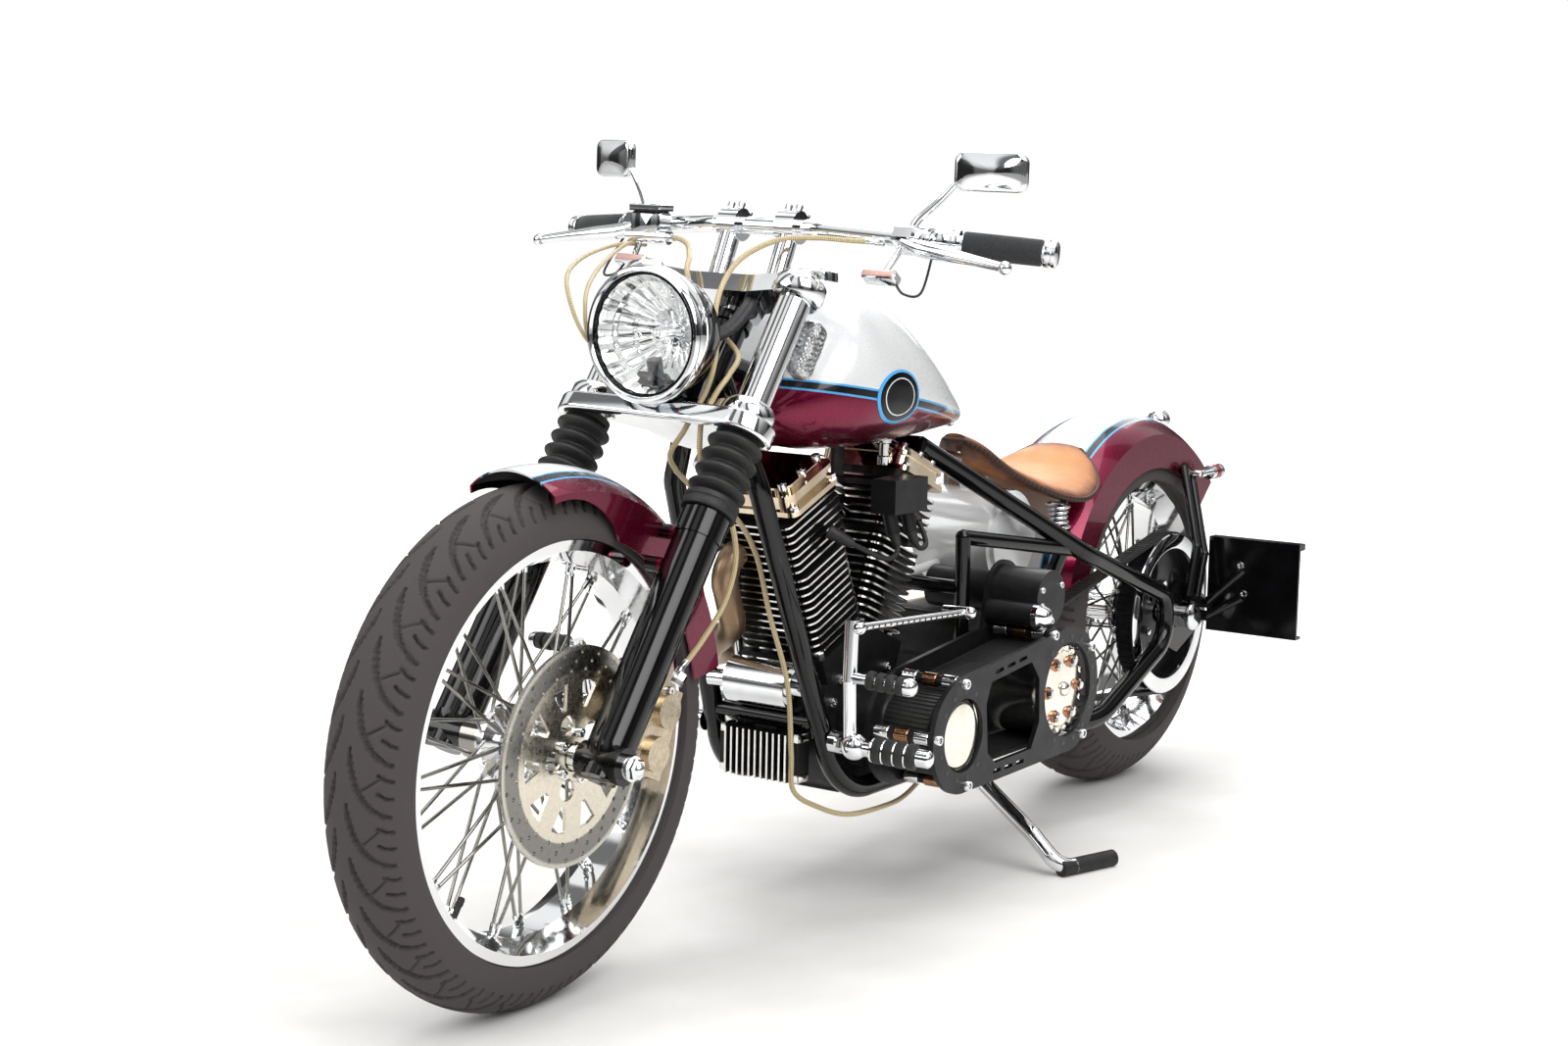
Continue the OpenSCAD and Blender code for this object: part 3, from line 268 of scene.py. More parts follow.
def rounded_outline(x_half: float, y_half: float, corner: float) -> Array:
    """Rounded rectangle: quarter circles joined by straights.

    Args:
        x_half: half its width.
        y_half: half its height.
        corner: radius of its corners.

    Returns:
        36 points.
    """
    a = np.linspace(0, TURN / 4, 9)
    quarter = np.arange(4)[:, None] * TURN / 4
    sign = table((1, 1), (-1, 1), (-1, -1), (1, -1))
    cx, cy = sign[:, :1] * (x_half - corner), sign[:, 1:] * (y_half - corner)
    x, y = cx + corner * np.cos(a + quarter), cy + corner * np.sin(a + quarter)
    return np.stack([x, y], -1).reshape(-1, 2)


def rounded_box(x: float, y: float, z: float) -> Form:
    """Bar about the origin with its long edges cut.

    An eight-sided outline is carried along Y and drawn in at both ends.

    Args:
        x: half its width.
        y: half its length.
        z: half its height.

    Returns:
        Points and quads.
    """
    cut = 0.3 * min(x, z)
    corner = table((x, z - cut), (x - cut, z), (cut - x, z), (-x, z - cut),
                   (-x, cut - z), (cut - x, -z), (x - cut, -z), (x, cut - z))
    rows = table((0, -y), (0.8, -y), (1, cut - y), (1, y - cut), (0.8, y), (0, y))
    points = np.stack([rows[:, :1] * corner[None, :, 0], rows[:, 1:] + 0 * corner[None, :, 0],
                       rows[:, :1] * corner[None, :, 1]], -1)
    return points.reshape(-1, 3), grid_faces(len(rows), len(corner), False, True)


UP = table((0, 0, 1))
LEFT = table((0, 1, 0))
OUTWARDS = table((0, 1, 0), (0, -1, 0))
HEX_HEAD = table((0, -1), (1, -1), (1, 0.75), (0.86, 1), (0, 1))
CAP_HEAD = table((0, -1), (1, -1), (1, 0.8), (0.9, 1), (0.55, 1), (0.5, 0.2), (0, 0.2))
DOME_HEAD = table((0, -1), (1, -1), (1, 0.2), (0.85, 0.65), (0.5, 0.93), (0, 1))


class Shape:
    """Points and faces that gather into one mesh."""

    def __init__(self, space: Space) -> None:
        """Starts empty, in one space.

        Args:
            space: where its points are drawn.
        """
        self.space = space
        self.points: list[Array] = []
        self.faces: list[Array] = []
        self.tones: list[Array] = []
        self.wraps: list[Array] = []
        self.count = 0

    def add(self, points: Array, faces: Array, tone: Array | float = 0.0,
            wrap: Array | float = 0.0) -> "Shape":
        """Adds points and faces.

        Args:
            points: n by 3 array in millimetres.
            faces: m by 4 array of indices.
            tone: value for each point that a finish may read.
            wrap: second such value.

        Returns:
            The shape itself.
        """
        flat = np.asarray(points, float).reshape(-1, 3)
        self.points.append(STANCE.place(flat, self.space))
        self.faces.append(faces + self.count)
        self.tones.append(np.broadcast_to(np.asarray(tone, float), (len(flat),)))
        self.wraps.append(np.broadcast_to(np.asarray(wrap, float), (len(flat),)))
        self.count += len(flat)
        return self

    def grid(self, points: Array, loop_rows: bool = False, loop_cols: bool = False,
             tone: Array | float = 0.0) -> "Shape":
        """Adds a surface.

        Args:
            points: rows by columns of points.
            loop_rows: whether the last row joins the first.
            loop_cols: whether the last column joins the first.
            tone: one value, or one for each point.

        Returns:
            The shape itself.
        """
        rows, cols = points.shape[:2]
        value = tone if np.ndim(tone) == 0 else np.broadcast_to(tone, (rows, cols)).reshape(-1)
        return self.add(points, grid_faces(rows, cols, loop_rows, loop_cols), value)

    def tube(self, path: Array, radius: Array | float, sides: int = 12,
             closed: bool = False) -> "Shape":
        """Adds a circle carried along a path, with its ends drawn to points.

        The tone is the distance along the path and the wrap the angle round it.

        Args:
            path: n by 3 centre line.
            radius: one radius, or one for each point.
            sides: steps round the circle.
            closed: whether the path joins up with its start.

        Returns:
            The shape itself.
        """
        p = np.asarray(path, float)
        r = np.broadcast_to(np.asarray(radius, float), (len(p),))
        if closed:
            d = np.roll(p, -1, 0) - np.roll(p, 1, 0)
        else:
            d = np.gradient(p, axis=0)
            p = np.vstack([p[:1], p, p[-1:]])
            d = np.vstack([d[:1], d, d[-1:]])
            r = np.concatenate([[0.0], r, [0.0]])
        d = unit(d)
        refs = np.vstack([np.eye(3), unit(table((1, 1, 0.4), (0.3, -1, 1), (-1, 0.5, 1)))])
        ref = refs[np.argmin(np.abs(d @ refs.T).max(0))]
        x = unit(ref - d * (d @ ref)[:, None])
        y = np.cross(d, x)
        a = np.arange(sides) * TURN / sides
        ring = np.cos(a)[None, :, None] * x[:, None, :] + np.sin(a)[None, :, None] * y[:, None, :]
        points = p[:, None, :] + r[:, None, None] * ring
        along = np.concatenate([[0], np.cumsum(np.linalg.norm(np.diff(p, axis=0), axis=1))])
        tone = np.broadcast_to(along[:, None], points.shape[:2]).reshape(-1)
        wrap = np.broadcast_to(a[None, :], points.shape[:2]).reshape(-1)
        return self.add(points, grid_faces(len(p), sides, closed, True), tone, wrap)

    def turn(self, profile: Array, sides: int = 96, about_y: bool = False, closed: bool = False) -> "Shape":
        """Adds a profile of radius and height turned about an axis of the space.

        Args:
            profile: k by 2 array.
            sides: steps round.
            about_y: whether the axis is Y rather than Z.
            closed: whether the profile joins up with its start.

        Returns:
            The shape itself.
        """
        points, _ = turned(profile, sides)
        if about_y:
            points = np.stack([points[:, 0], points[:, 2], -points[:, 1]], -1)
        return self.add(points, grid_faces(sides, len(profile), True, closed))

    def copies(self, form: Form, at: Array, along: Array, size: Span = (1.0, 1.0)) -> "Shape":
        """Adds a form many times.

        Args:
            form: points and faces about the origin, with Z as its axis.
            at: n by 3 places.
            along: directions of the form's axis, one or n of them.
            size: factors across and along the axis.

        Returns:
            The shape itself.
        """
        at = np.atleast_2d(at)
        along = np.broadcast_to(np.asarray(along, float), at.shape)
        scaled = form[0] * np.array([size[0], size[0], size[1]])
        return self.add(*repeat((scaled, form[1]), at, bases(along)))

    def heads(self, profile: Array, sides: int, at: Array, along: Array,
              radius: float, height: float) -> "Shape":
        """Adds bolt heads, half of each sunk into what it holds."""
        return self.copies(turned(profile, sides), at, along, (radius, height))

    def piece(self, name: str, body: Body, finish: "Finish", slot: str,
              sharp: float = SHARP) -> bpy.types.Object:
        """Makes the mesh and puts it on its body.

        Args:
            name: the piece's name.
            body: what it rides on.
            finish: its material.
            slot: the record's material slot; not used.
            sharp: angle in degrees past which an edge stays sharp.

        Returns:
            The object.
        """
        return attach(self.loose_piece(name, finish, slot, sharp), body.value)

    def loose_piece(self, name: str, finish: "Finish", slot: str, sharp: float = SHARP) -> bpy.types.Object:
        """Makes the mesh as an object that rides on nothing yet.

        Args:
            name: the piece's name.
            finish: its material.
            slot: the record's material slot; not used.
            sharp: angle in degrees past which an edge stays sharp.

        Returns:
            The object.
        """
        mesh = bpy.data.meshes.new(name)
        mesh.from_pydata(np.vstack(self.points), [], np.vstack(self.faces).tolist())
        for label, values in (("tone", self.tones), ("wrap", self.wraps)):
            mesh.attributes.new(label, "FLOAT", "POINT").data.foreach_set("value", np.concatenate(values))
        work = bmesh.new()
        work.from_mesh(mesh)
        bmesh.ops.remove_doubles(work, verts=work.verts, dist=1e-6)
        bmesh.ops.recalc_face_normals(work, faces=work.faces)
        work.to_mesh(mesh)
        work.free()
        mesh.polygons.foreach_set("use_smooth", np.ones(len(mesh.polygons), bool))
        mesh.set_sharp_from_angle(angle=math.radians(sharp))
        mesh.materials.append(finish.material())
        obj = bpy.data.objects.new(name, mesh)
        bpy.context.scene.collection.objects.link(obj)
        LOG.info("piece %s: %d faces", name, len(mesh.polygons))
        return obj


# Finishes


def linear(hexes: str) -> tuple[float, float, float, float]:
    """Linear colour of an sRGB hex value such as 7A1F2B."""
    srgb = [int(hexes[i : i + 2], 16) / 255 for i in (0, 2, 4)]
    return (*(c / 12.92 if c <= 0.04045 else ((c + 0.055) / 1.055) ** 2.4 for c in srgb), 1.0)


def add(tree: Tree, kind: str, settings: dict | None = None,
        inputs: dict | None = None) -> bpy.types.Node:
    """Adds one node with its settings, links and values.

    Args:
        tree: the material's nodes.
        kind: the node's type without its ShaderNode prefix.
        settings: properties, and for a colour ramp the list "stops" of position and hex.
        inputs: a socket to link from, or a value, for each input by name or number.

    Returns:
        The node.
    """
    node = tree.nodes.new("ShaderNode" + kind)
    for key, value in (settings or {}).items():
        if key == "stops":
            for i, (at, hexes) in enumerate(value):
                stop = node.color_ramp.elements[i] if i < 2 else node.color_ramp.elements.new(at)
                stop.position = at
                stop.color = linear(hexes)
        elif key == "blend":
            node.color_ramp.interpolation = value.value
        else:
            setattr(node, key, value)
    for key, value in (inputs or {}).items():
        if isinstance(value, Socket):
            tree.links.new(value, node.inputs[key])
        else:
            node.inputs[key].default_value = value
    return node


@dataclass(frozen=True)
class Finish:
    """A surface: its colours, gloss and grain.

    The grain is a noise of the given size in millimetres that mixes both colours, moves the
    roughness between its limits and lifts the surface by the given height.
    """

    name: str
    colour: str
    worn: str
    metallic: float = 0.0
    rough: Span = (0.3, 0.4)
    grain_mm: float = 20.0
    lift_mm: float = 0.0
    lift_grain_mm: float = 2.0
    coat: float = 0.0
    sheen: float = 0.0
    shine: float = 0.5

    def material(self) -> bpy.types.Material:
        """The material, made once.

        Returns:
            The material of this name.
        """
        found = bpy.data.materials.get(self.name)
        if found:
            return found
        made = bpy.data.materials.new(self.name)
        made.use_nodes = True
        tree = made.node_tree
        tree.nodes.clear()
        where = add(tree, "TexCoord").outputs["Object"]
        shader = add(tree, "BsdfPrincipled", None, {"Metallic": self.metallic, "Coat Weight": self.coat,
                                                    "Coat Roughness": 0.03, "Sheen Weight": self.sheen,
                                                    "Specular IOR Level": self.shine})
        self.paint(tree, shader, where)
        add(tree, "OutputMaterial", None, {"Surface": shader.outputs[0]})
        made.diffuse_color = linear(self.colour)
        return made

    def noise(self, tree: Tree, where: Socket, size_mm: float, detail: float = 4.0) -> Socket:
        """Noise of a real size."""
        inputs = {"Vector": where, "Scale": 1 / (size_mm * MM), "Detail": detail}
        return add(tree, "TexNoise", None, inputs).outputs[0]

    def colour_of(self, tree: Tree, where: Socket) -> Socket:
        """Both colours mixed by the grain.

        Args:
            tree: the material's nodes.
            where: place on the object.

        Returns:
            The colour.
        """
        grain = self.noise(tree, where, self.grain_mm)
        stops = [(0.35, self.colour), (0.75, self.worn)]
        return add(tree, "ValToRGB", {"stops": stops}, {0: grain}).outputs[0]

    def paint(self, tree: Tree, shader: bpy.types.Node, where: Socket) -> None:
        """Links colour, roughness and bump to the shader.

        Args:
            tree: the material's nodes.
            shader: the surface shader.
            where: place on the object.
        """
        tree.links.new(self.colour_of(tree, where), shader.inputs["Base Color"])
        smear = self.noise(tree, where, self.grain_mm * 2.3, 2.0)
        rough = add(tree, "MapRange", None, {0: smear, 1: 0.3, 2: 0.7, 3: self.rough[0], 4: self.rough[1]})
        tree.links.new(rough.outputs[0], shader.inputs["Roughness"])
        if self.lift_mm:
            height = self.noise(tree, where, self.lift_grain_mm, 6.0)
            bump = add(tree, "Bump", None, {"Strength": 0.6, "Distance": self.lift_mm * MM, "Height": height})
            tree.links.new(bump.outputs[0], shader.inputs["Normal"])


@dataclass(frozen=True)
class Glass(Finish):
    """Clear moulded glass or plastic."""

    ior: float = 1.5
    clear: float = 1.0

    def paint(self, tree: Tree, shader: bpy.types.Node, where: Socket) -> None:
        """Adds transmission to the plain finish.

        Args:
            tree: the material's nodes.
            shader: the surface shader.
            where: place on the object.
        """
        super().paint(tree, shader, where)
        shader.inputs["Transmission Weight"].default_value = self.clear
        shader.inputs["IOR"].default_value = self.ior


@dataclass(frozen=True)
class BandedPaint(Finish):
    """Sprayed paint in bands: pearl, a black band between two fine lines, and candy.

    The bands follow the point attribute "tone", or else the distance from a plane of the row frame.
    """

    stops: Stops = ()
    reach_mm: float = 100.0
    plane: tuple[float, float, float, float] | None = None
    flakes: float = 0.8

    def share(self, tree: Tree, where: Socket) -> Socket:
        """Distance as a share from 0 to 1 of the reach, which runs both ways for the attribute.

        Args:
            tree: the material's nodes.
            where: place on the object.

        Returns:
            The share.
        """
        if not self.plane:
            far = add(tree, "Attribute", {"attribute_name": "tone"}).outputs["Fac"]
            return add(tree, "MapRange", None, {0: far, 1: -self.reach_mm, 2: self.reach_mm}).outputs[0]
        dot = add(tree, "VectorMath", {"operation": "DOT_PRODUCT"}, {0: where, 1: self.plane[:3]})
        far = add(tree, "Math", {"operation": "ADD"}, {0: dot.outputs["Value"], 1: self.plane[3]}).outputs[0]
        far = add(tree, "Math", {"operation": "ABSOLUTE"}, {0: far}).outputs[0]
        return add(tree, "MapRange", None, {0: far, 1: 0.0, 2: self.reach_mm * MM}).outputs[0]

    def at(self, mm: float) -> float:
        """Share of a distance."""
        return mm / self.reach_mm if self.plane else 0.5 + mm / self.reach_mm / 2

    def paint(self, tree: Tree, shader: bpy.types.Node, where: Socket) -> None:
        """Makes the candy band metallic.

        Args:
            tree: the material's nodes.
            shader: the surface shader.
            where: place on the object.
        """
        super().paint(tree, shader, where)
        white, dark = "FFFFFF", "6E6E6E"
        stops = [(self.at(mm), white if hexes == CANDY else dark) for mm, hexes in self.stops]
        mask = add(tree, "ValToRGB", {"stops": stops, "blend": Blend.STEPPED}, {0: self.share(tree, where)})
        metal = add(tree, "Math", {"operation": "MULTIPLY"}, {0: mask.outputs[0], 1: self.flakes}).outputs[0]
        tree.links.new(metal, shader.inputs["Metallic"])

    def colour_of(self, tree: Tree, where: Socket) -> Socket:
        """Band colour by distance, with flakes in it.

        Args:
            tree: the material's nodes.
            where: place on the object.

        Returns:
            The colour.
        """
        at = self.share(tree, where)
        stops = [(self.at(mm), hexes) for mm, hexes in self.stops]
        band = add(tree, "ValToRGB", {"stops": stops, "blend": Blend.STEPPED}, {0: at}).outputs[0]
        flake = self.noise(tree, where, self.grain_mm)
        dim = add(tree, "MapRange", None, {0: flake, 1: 0.3, 2: 0.7, 3: 0.93, 4: 1.0}).outputs[0]
        return add(tree, "Mix", {"data_type": "RGBA", "blend_type": "MULTIPLY"},
                   {0: 1.0, 6: band, 7: dim}).outputs[2]


@dataclass(frozen=True)
class ToneFinish(Finish):
    """A finish whose colour runs with the point attribute "tone" from 0 to 1."""

    stops: Stops = ()
    blend: Blend = Blend.SMOOTH

    def colour_of(self, tree: Tree, where: Socket) -> Socket:
        """Colour by tone, mottled by the grain.

        Args:
            tree: the material's nodes.
            where: place on the object.

        Returns:
            The colour.
        """
        tone = add(tree, "Attribute", {"attribute_name": "tone"}).outputs["Fac"]
        if self.blend is Blend.SMOOTH:
            grain = self.noise(tree, where, self.grain_mm)
            sway = add(tree, "MapRange", None, {0: grain, 1: 0.25, 2: 0.75, 3: -0.09, 4: 0.09}).outputs[0]
            tone = add(tree, "Math", {"operation": "ADD"}, {0: tone, 1: sway}).outputs[0]
        return add(tree, "ValToRGB", {"stops": self.stops, "blend": self.blend}, {0: tone}).outputs[0]


@dataclass(frozen=True)
class Braid(Finish):
    """Braided sleeve: two sets of strands that cross, coarser than the real ones so that they show."""

    strand_mm: float = 3.0
    strands: float = 4.0

    def paint(self, tree: Tree, shader: bpy.types.Node, where: Socket) -> None:
        """Crossing waves of the distance along and the angle round.

        Args:
            tree: the material's nodes.
            shader: the surface shader.
            where: place on the object; not used.
        """
        along = add(tree, "Attribute", {"attribute_name": "tone"}).outputs["Fac"]
        round_ = add(tree, "Attribute", {"attribute_name": "wrap"}).outputs["Fac"]
        a = add(tree, "Math", {"operation": "MULTIPLY"}, {0: along, 1: math.pi / self.strand_mm}).outputs[0]
        b = add(tree, "Math", {"operation": "MULTIPLY"}, {0: round_, 1: self.strands}).outputs[0]
        waves = []
        for operation in ("ADD", "SUBTRACT"):
            mixed = add(tree, "Math", {"operation": operation}, {0: a, 1: b}).outputs[0]
            waves.append(add(tree, "Math", {"operation": "SINE"}, {0: mixed}).outputs[0])
        weave = add(tree, "Math", {"operation": "MULTIPLY"}, {0: waves[0], 1: waves[1]}).outputs[0]
        level = add(tree, "MapRange", None, {0: weave, 1: -1.0, 2: 1.0, 3: 0.0, 4: 1.0}).outputs[0]
        colour = add(tree, "ValToRGB", {"stops": [(0.3, self.worn), (0.6, self.colour)]}, {0: level})
        tree.links.new(colour.outputs[0], shader.inputs["Base Color"])
        shader.inputs["Roughness"].default_value = self.rough[0]
        bump = add(tree, "Bump", None, {"Strength": 0.5, "Distance": self.lift_mm * MM, "Height": level})
        tree.links.new(bump.outputs[0], shader.inputs["Normal"])


@dataclass(frozen=True)
class HeatTint(Finish):
    """Steel pipe tinted by heat, bronze at the head and paler along the run."""

    start_x: float = 0.32
    end_x: float = -0.1

    def colour_of(self, tree: Tree, where: Socket) -> Socket:
        """Colour by the distance behind the head.

        Args:
            tree: the material's nodes.
            where: place on the object.

        Returns:
            The colour.
        """
        x = add(tree, "SeparateXYZ", None, {0: where}).outputs["X"]
        grain = self.noise(tree, where, self.grain_mm)
        shifted = add(tree, "Math", {"operation": "MULTIPLY_ADD"}, {0: grain, 1: 0.12, 2: x}).outputs[0]
        t = add(tree, "MapRange", None, {0: shifted, 1: self.start_x, 2: self.end_x}).outputs[0]
        stops = [(0.0, "5C3A24"), (0.25, "A8703C"), (0.5, "C9A05E"), (0.7, "8E7A76"), (1.0, "C9C6C0")]
        return add(tree, "ValToRGB", {"stops": stops}, {0: t}).outputs[0]


@dataclass(frozen=True)
class RadialSteel(Finish):
    """Steel whose colour runs with the distance in millimetres from an axle in the row frame."""

    centre: Point = (0.0, 0.0, 0.0)
    stops: Stops = ()
    reach_mm: float = 300.0

    def colour_of(self, tree: Tree, where: Socket) -> Socket:
        """Colour by distance, mottled by the grain.

        Args:
            tree: the material's nodes.
            where: place on the object.

        Returns:
            The colour.
        """
        far = add(tree, "VectorMath", {"operation": "DISTANCE"}, {0: where, 1: self.centre}).outputs["Value"]
        grain = self.noise(tree, where, self.grain_mm)
        swayed = add(tree, "Math", {"operation": "MULTIPLY_ADD"}, {0: grain, 1: 0.0008, 2: far}).outputs[0]
        share = add(tree, "MapRange", None, {0: swayed, 1: 0.0, 2: self.reach_mm * MM}).outputs[0]
        stops = [(mm / self.reach_mm, hexes) for mm, hexes in self.stops]
        return add(tree, "ValToRGB", {"stops": stops}, {0: share}).outputs[0]


@dataclass(frozen=True)
class Leather(ToneFinish):
    """Vegetable-tanned saddle leather: pebbled grain, burnished dark at the edge."""

    pebble_mm: float = 2.4

    def paint(self, tree: Tree, shader: bpy.types.Node, where: Socket) -> None:
        """Adds the pebbled grain to the plain finish.

        Args:
            tree: the material's nodes.
            shader: the surface shader.
            where: place on the object.
        """
        super().paint(tree, shader, where)
        pebble = add(tree, "TexVoronoi", None, {"Vector": where, "Scale": 1 / (self.pebble_mm * MM)})
        bump = add(tree, "Bump", None, {"Strength": 0.35, "Distance": 0.4 * MM, "Height": pebble.outputs[0]})
        tree.links.new(bump.outputs[0], shader.inputs["Normal"])


@dataclass(frozen=True)
class FloorPaint(Finish):
    """Pale floor that runs out to the white of the background away from the object."""

    fade_m: Span = (1.7, 4.2)

    def paint(self, tree: Tree, shader: bpy.types.Node, where: Socket) -> None:
        """Adds a glow with the distance from the middle, for camera rays only.

        Args:
            tree: the material's nodes.
            shader: the surface shader.
            where: place on the object.
        """
        super().paint(tree, shader, where)
        far = add(tree, "VectorMath", {"operation": "LENGTH"}, {0: where}).outputs["Value"]
        share = add(tree, "MapRange", {"interpolation_type": "SMOOTHSTEP"},
                    {0: far, 1: self.fade_m[0], 2: self.fade_m[1]})
        seen = add(tree, "LightPath").outputs["Is Camera Ray"]
        glow = add(tree, "Math", {"operation": "MULTIPLY"}, {0: share.outputs[0], 1: seen}).outputs[0]
        tree.links.new(glow, shader.inputs["Emission Strength"])
        shader.inputs["Emission Color"].default_value = linear("FFFFFF")


# Chrome: a mirror with faint smears
CHROME = Finish("chrome_plate", "ECEDEE", "DADDE0", 1.0, (0.03, 0.08), 60)
# Bronze-looking plated steel of the guard's spacers
BRONZE = Finish("bronze_spacer", "A9805F", "8A6650", 1.0, (0.12, 0.25), 8)
# Soft copper, rosy and dull beside the chrome
COPPER = Finish("copper_washer", "C08F74", "A57560", 1.0, (0.2, 0.35), 6)
# Polished aluminium, bright with fine rubbing marks
POLISHED = Finish("polished_aluminium", "E6E5E2", "CFCDC8", 1.0, (0.1, 0.22), 9)
# Bright plate tinted cream as a painted warm reflection: rocker boxes, clutch and pulley covers
WARM_PLATE = Finish("bright_plate_with_painted_warm_reflection", "FAF6EC", "EFE7D6", 1.0, (0.08, 0.18), 14)
# Chrome tinted warm: a painted reflection of the warm pipes
BOX_CHROME = Finish("chrome_with_painted_warm_reflection", "E3D6C2", "C6B193", 1.0, (0.05, 0.11), 40)
# Satin nickel, a warm grey that blurs what it mirrors
NICKEL = Finish("satin_nickel", "CDBFA8", "B2A48E", 1.0, (0.2, 0.34), 7)
# Sprayed gloss black under lacquer, with the lacquer's faint ripple
GLOSS_BLACK = Finish("gloss_black_lacquer", "060607", "0B0B0D", 0.0, (0.07, 0.12), 40, 0.03, 3.0, shine=0.42)
# Satin enamel, black with a soft grey sheen
SATIN_BLACK = Finish("satin_black_enamel", "101012", "19191C", 0.0, (0.32, 0.44), 14, 0.12, 1.2, shine=0.3)
# Crinkle paint on castings, rough enough to hide reflections
CAST_BLACK = Finish("black_crinkle_casting", "0E0E0F", "171719", 0.0, (0.42, 0.56), 9, 0.25, 1.4, shine=0.3)
# Anodised alloy, black with a metal glint
ANODISED = Finish("black_anodised", "131316", "1E1E22", 0.4, (0.28, 0.4), 10, 0.05, 1.0)
# Moulded rubber, dull with a fine grain
RUBBER = Finish("moulded_rubber", "121212", "1C1B1A", 0.0, (0.5, 0.66), 12, 0.15, 1.6)
# Woven sleeve, coarse and matt
LOOM = Finish("woven_loom_sleeve", "121214", "2A2A2E", 0.0, (0.5, 0.7), 2.5, 0.6, 2.5)
# Foam, dark grey and without gloss
FOAM = Finish("foam_grip", "1E1F21", "2A2B2D", 0.0, (0.85, 0.95), 3, 0.5, 1.1, sheen=0.15)
# Dusty tread rubber, browner on the flanks; its last stop is painted shade, near black, in the grooves
TYRE = ToneFinish("tyre_rubber", "4A4643", "37332F", 0.0, (0.6, 0.78), 14, 0.15, 1.2,
                  stops=((0.0, "4D4C49"), (0.35, "3A3733"), (0.62, "33291F"), (0.9, "050404")))
# Clear glass, through which the reflector shows
LENS = Glass("lamp_glass", "FFFFFF", "F4F8FA", 0.0, (0.0, 0.03), 50)
# Mirror glass without a tint
MIRROR = Finish("mirror_glass", "FAFAFA", "F2F4F5", 1.0, (0.01, 0.03), 80)
# Metal vapour on plastic, bright but less sharp than glass
REFLECTOR = Finish("vacuum_metal_reflector", "F6F6F4", "E8E9EA", 1.0, (0.05, 0.12), 30)
# Ribbed clear plastic that breaks up the light
SIGNAL = Glass("signal_lens", "F8F0EE", "E4CFCA", 0.0, (0.08, 0.16), 4, 0.8, 4.0, clear=0.6)
# Deep red plastic, half clear
RED_LENS = Glass("red_lens", "A01418", "7E1014", 0.0, (0.08, 0.16), 6, clear=0.4)
# Crumpled foil with many small glints
FOIL = Finish("crumpled_foil", "C9CACB", "8F9092", 1.0, (0.18, 0.4), 5, 1.6, 6.0)
# Braid in straw and brown strands
BRAIDED = Braid("braided_sleeve", "CDBB93", "8C7B55", 0.0, (0.3, 0.4), lift_mm=0.5)
# Steel blued and browned by heat
PIPE = HeatTint("heat_tinted_steel", "A8703C", "C9C6C0", 1.0, (0.14, 0.26), 30)
# Tan leather, burnished dark at its edge
LEATHER = Leather("saddle_leather", "B9743A", "8A4E24", 0.0, (0.42, 0.58), 16,
                  stops=((0.0, "C08446"), (0.5, "B06F38"), (0.78, "74401F"), (0.97, "2A150B")))
# Dark lace whose turns show as ridges
LACE = Braid("leather_lace", "4A2A18", "1E0F08", 0.0, (0.5, 0.6), lift_mm=1.2, strand_mm=9.0, strands=1.0)
# Paint colours: pearl white, fine blue line, black band, candy red
PEARL = "DEE0E1"
BLUE = "4FA3DC"
BLACK_BAND = "0C0D10"
CANDY = "720930"


# Sub-assemblies


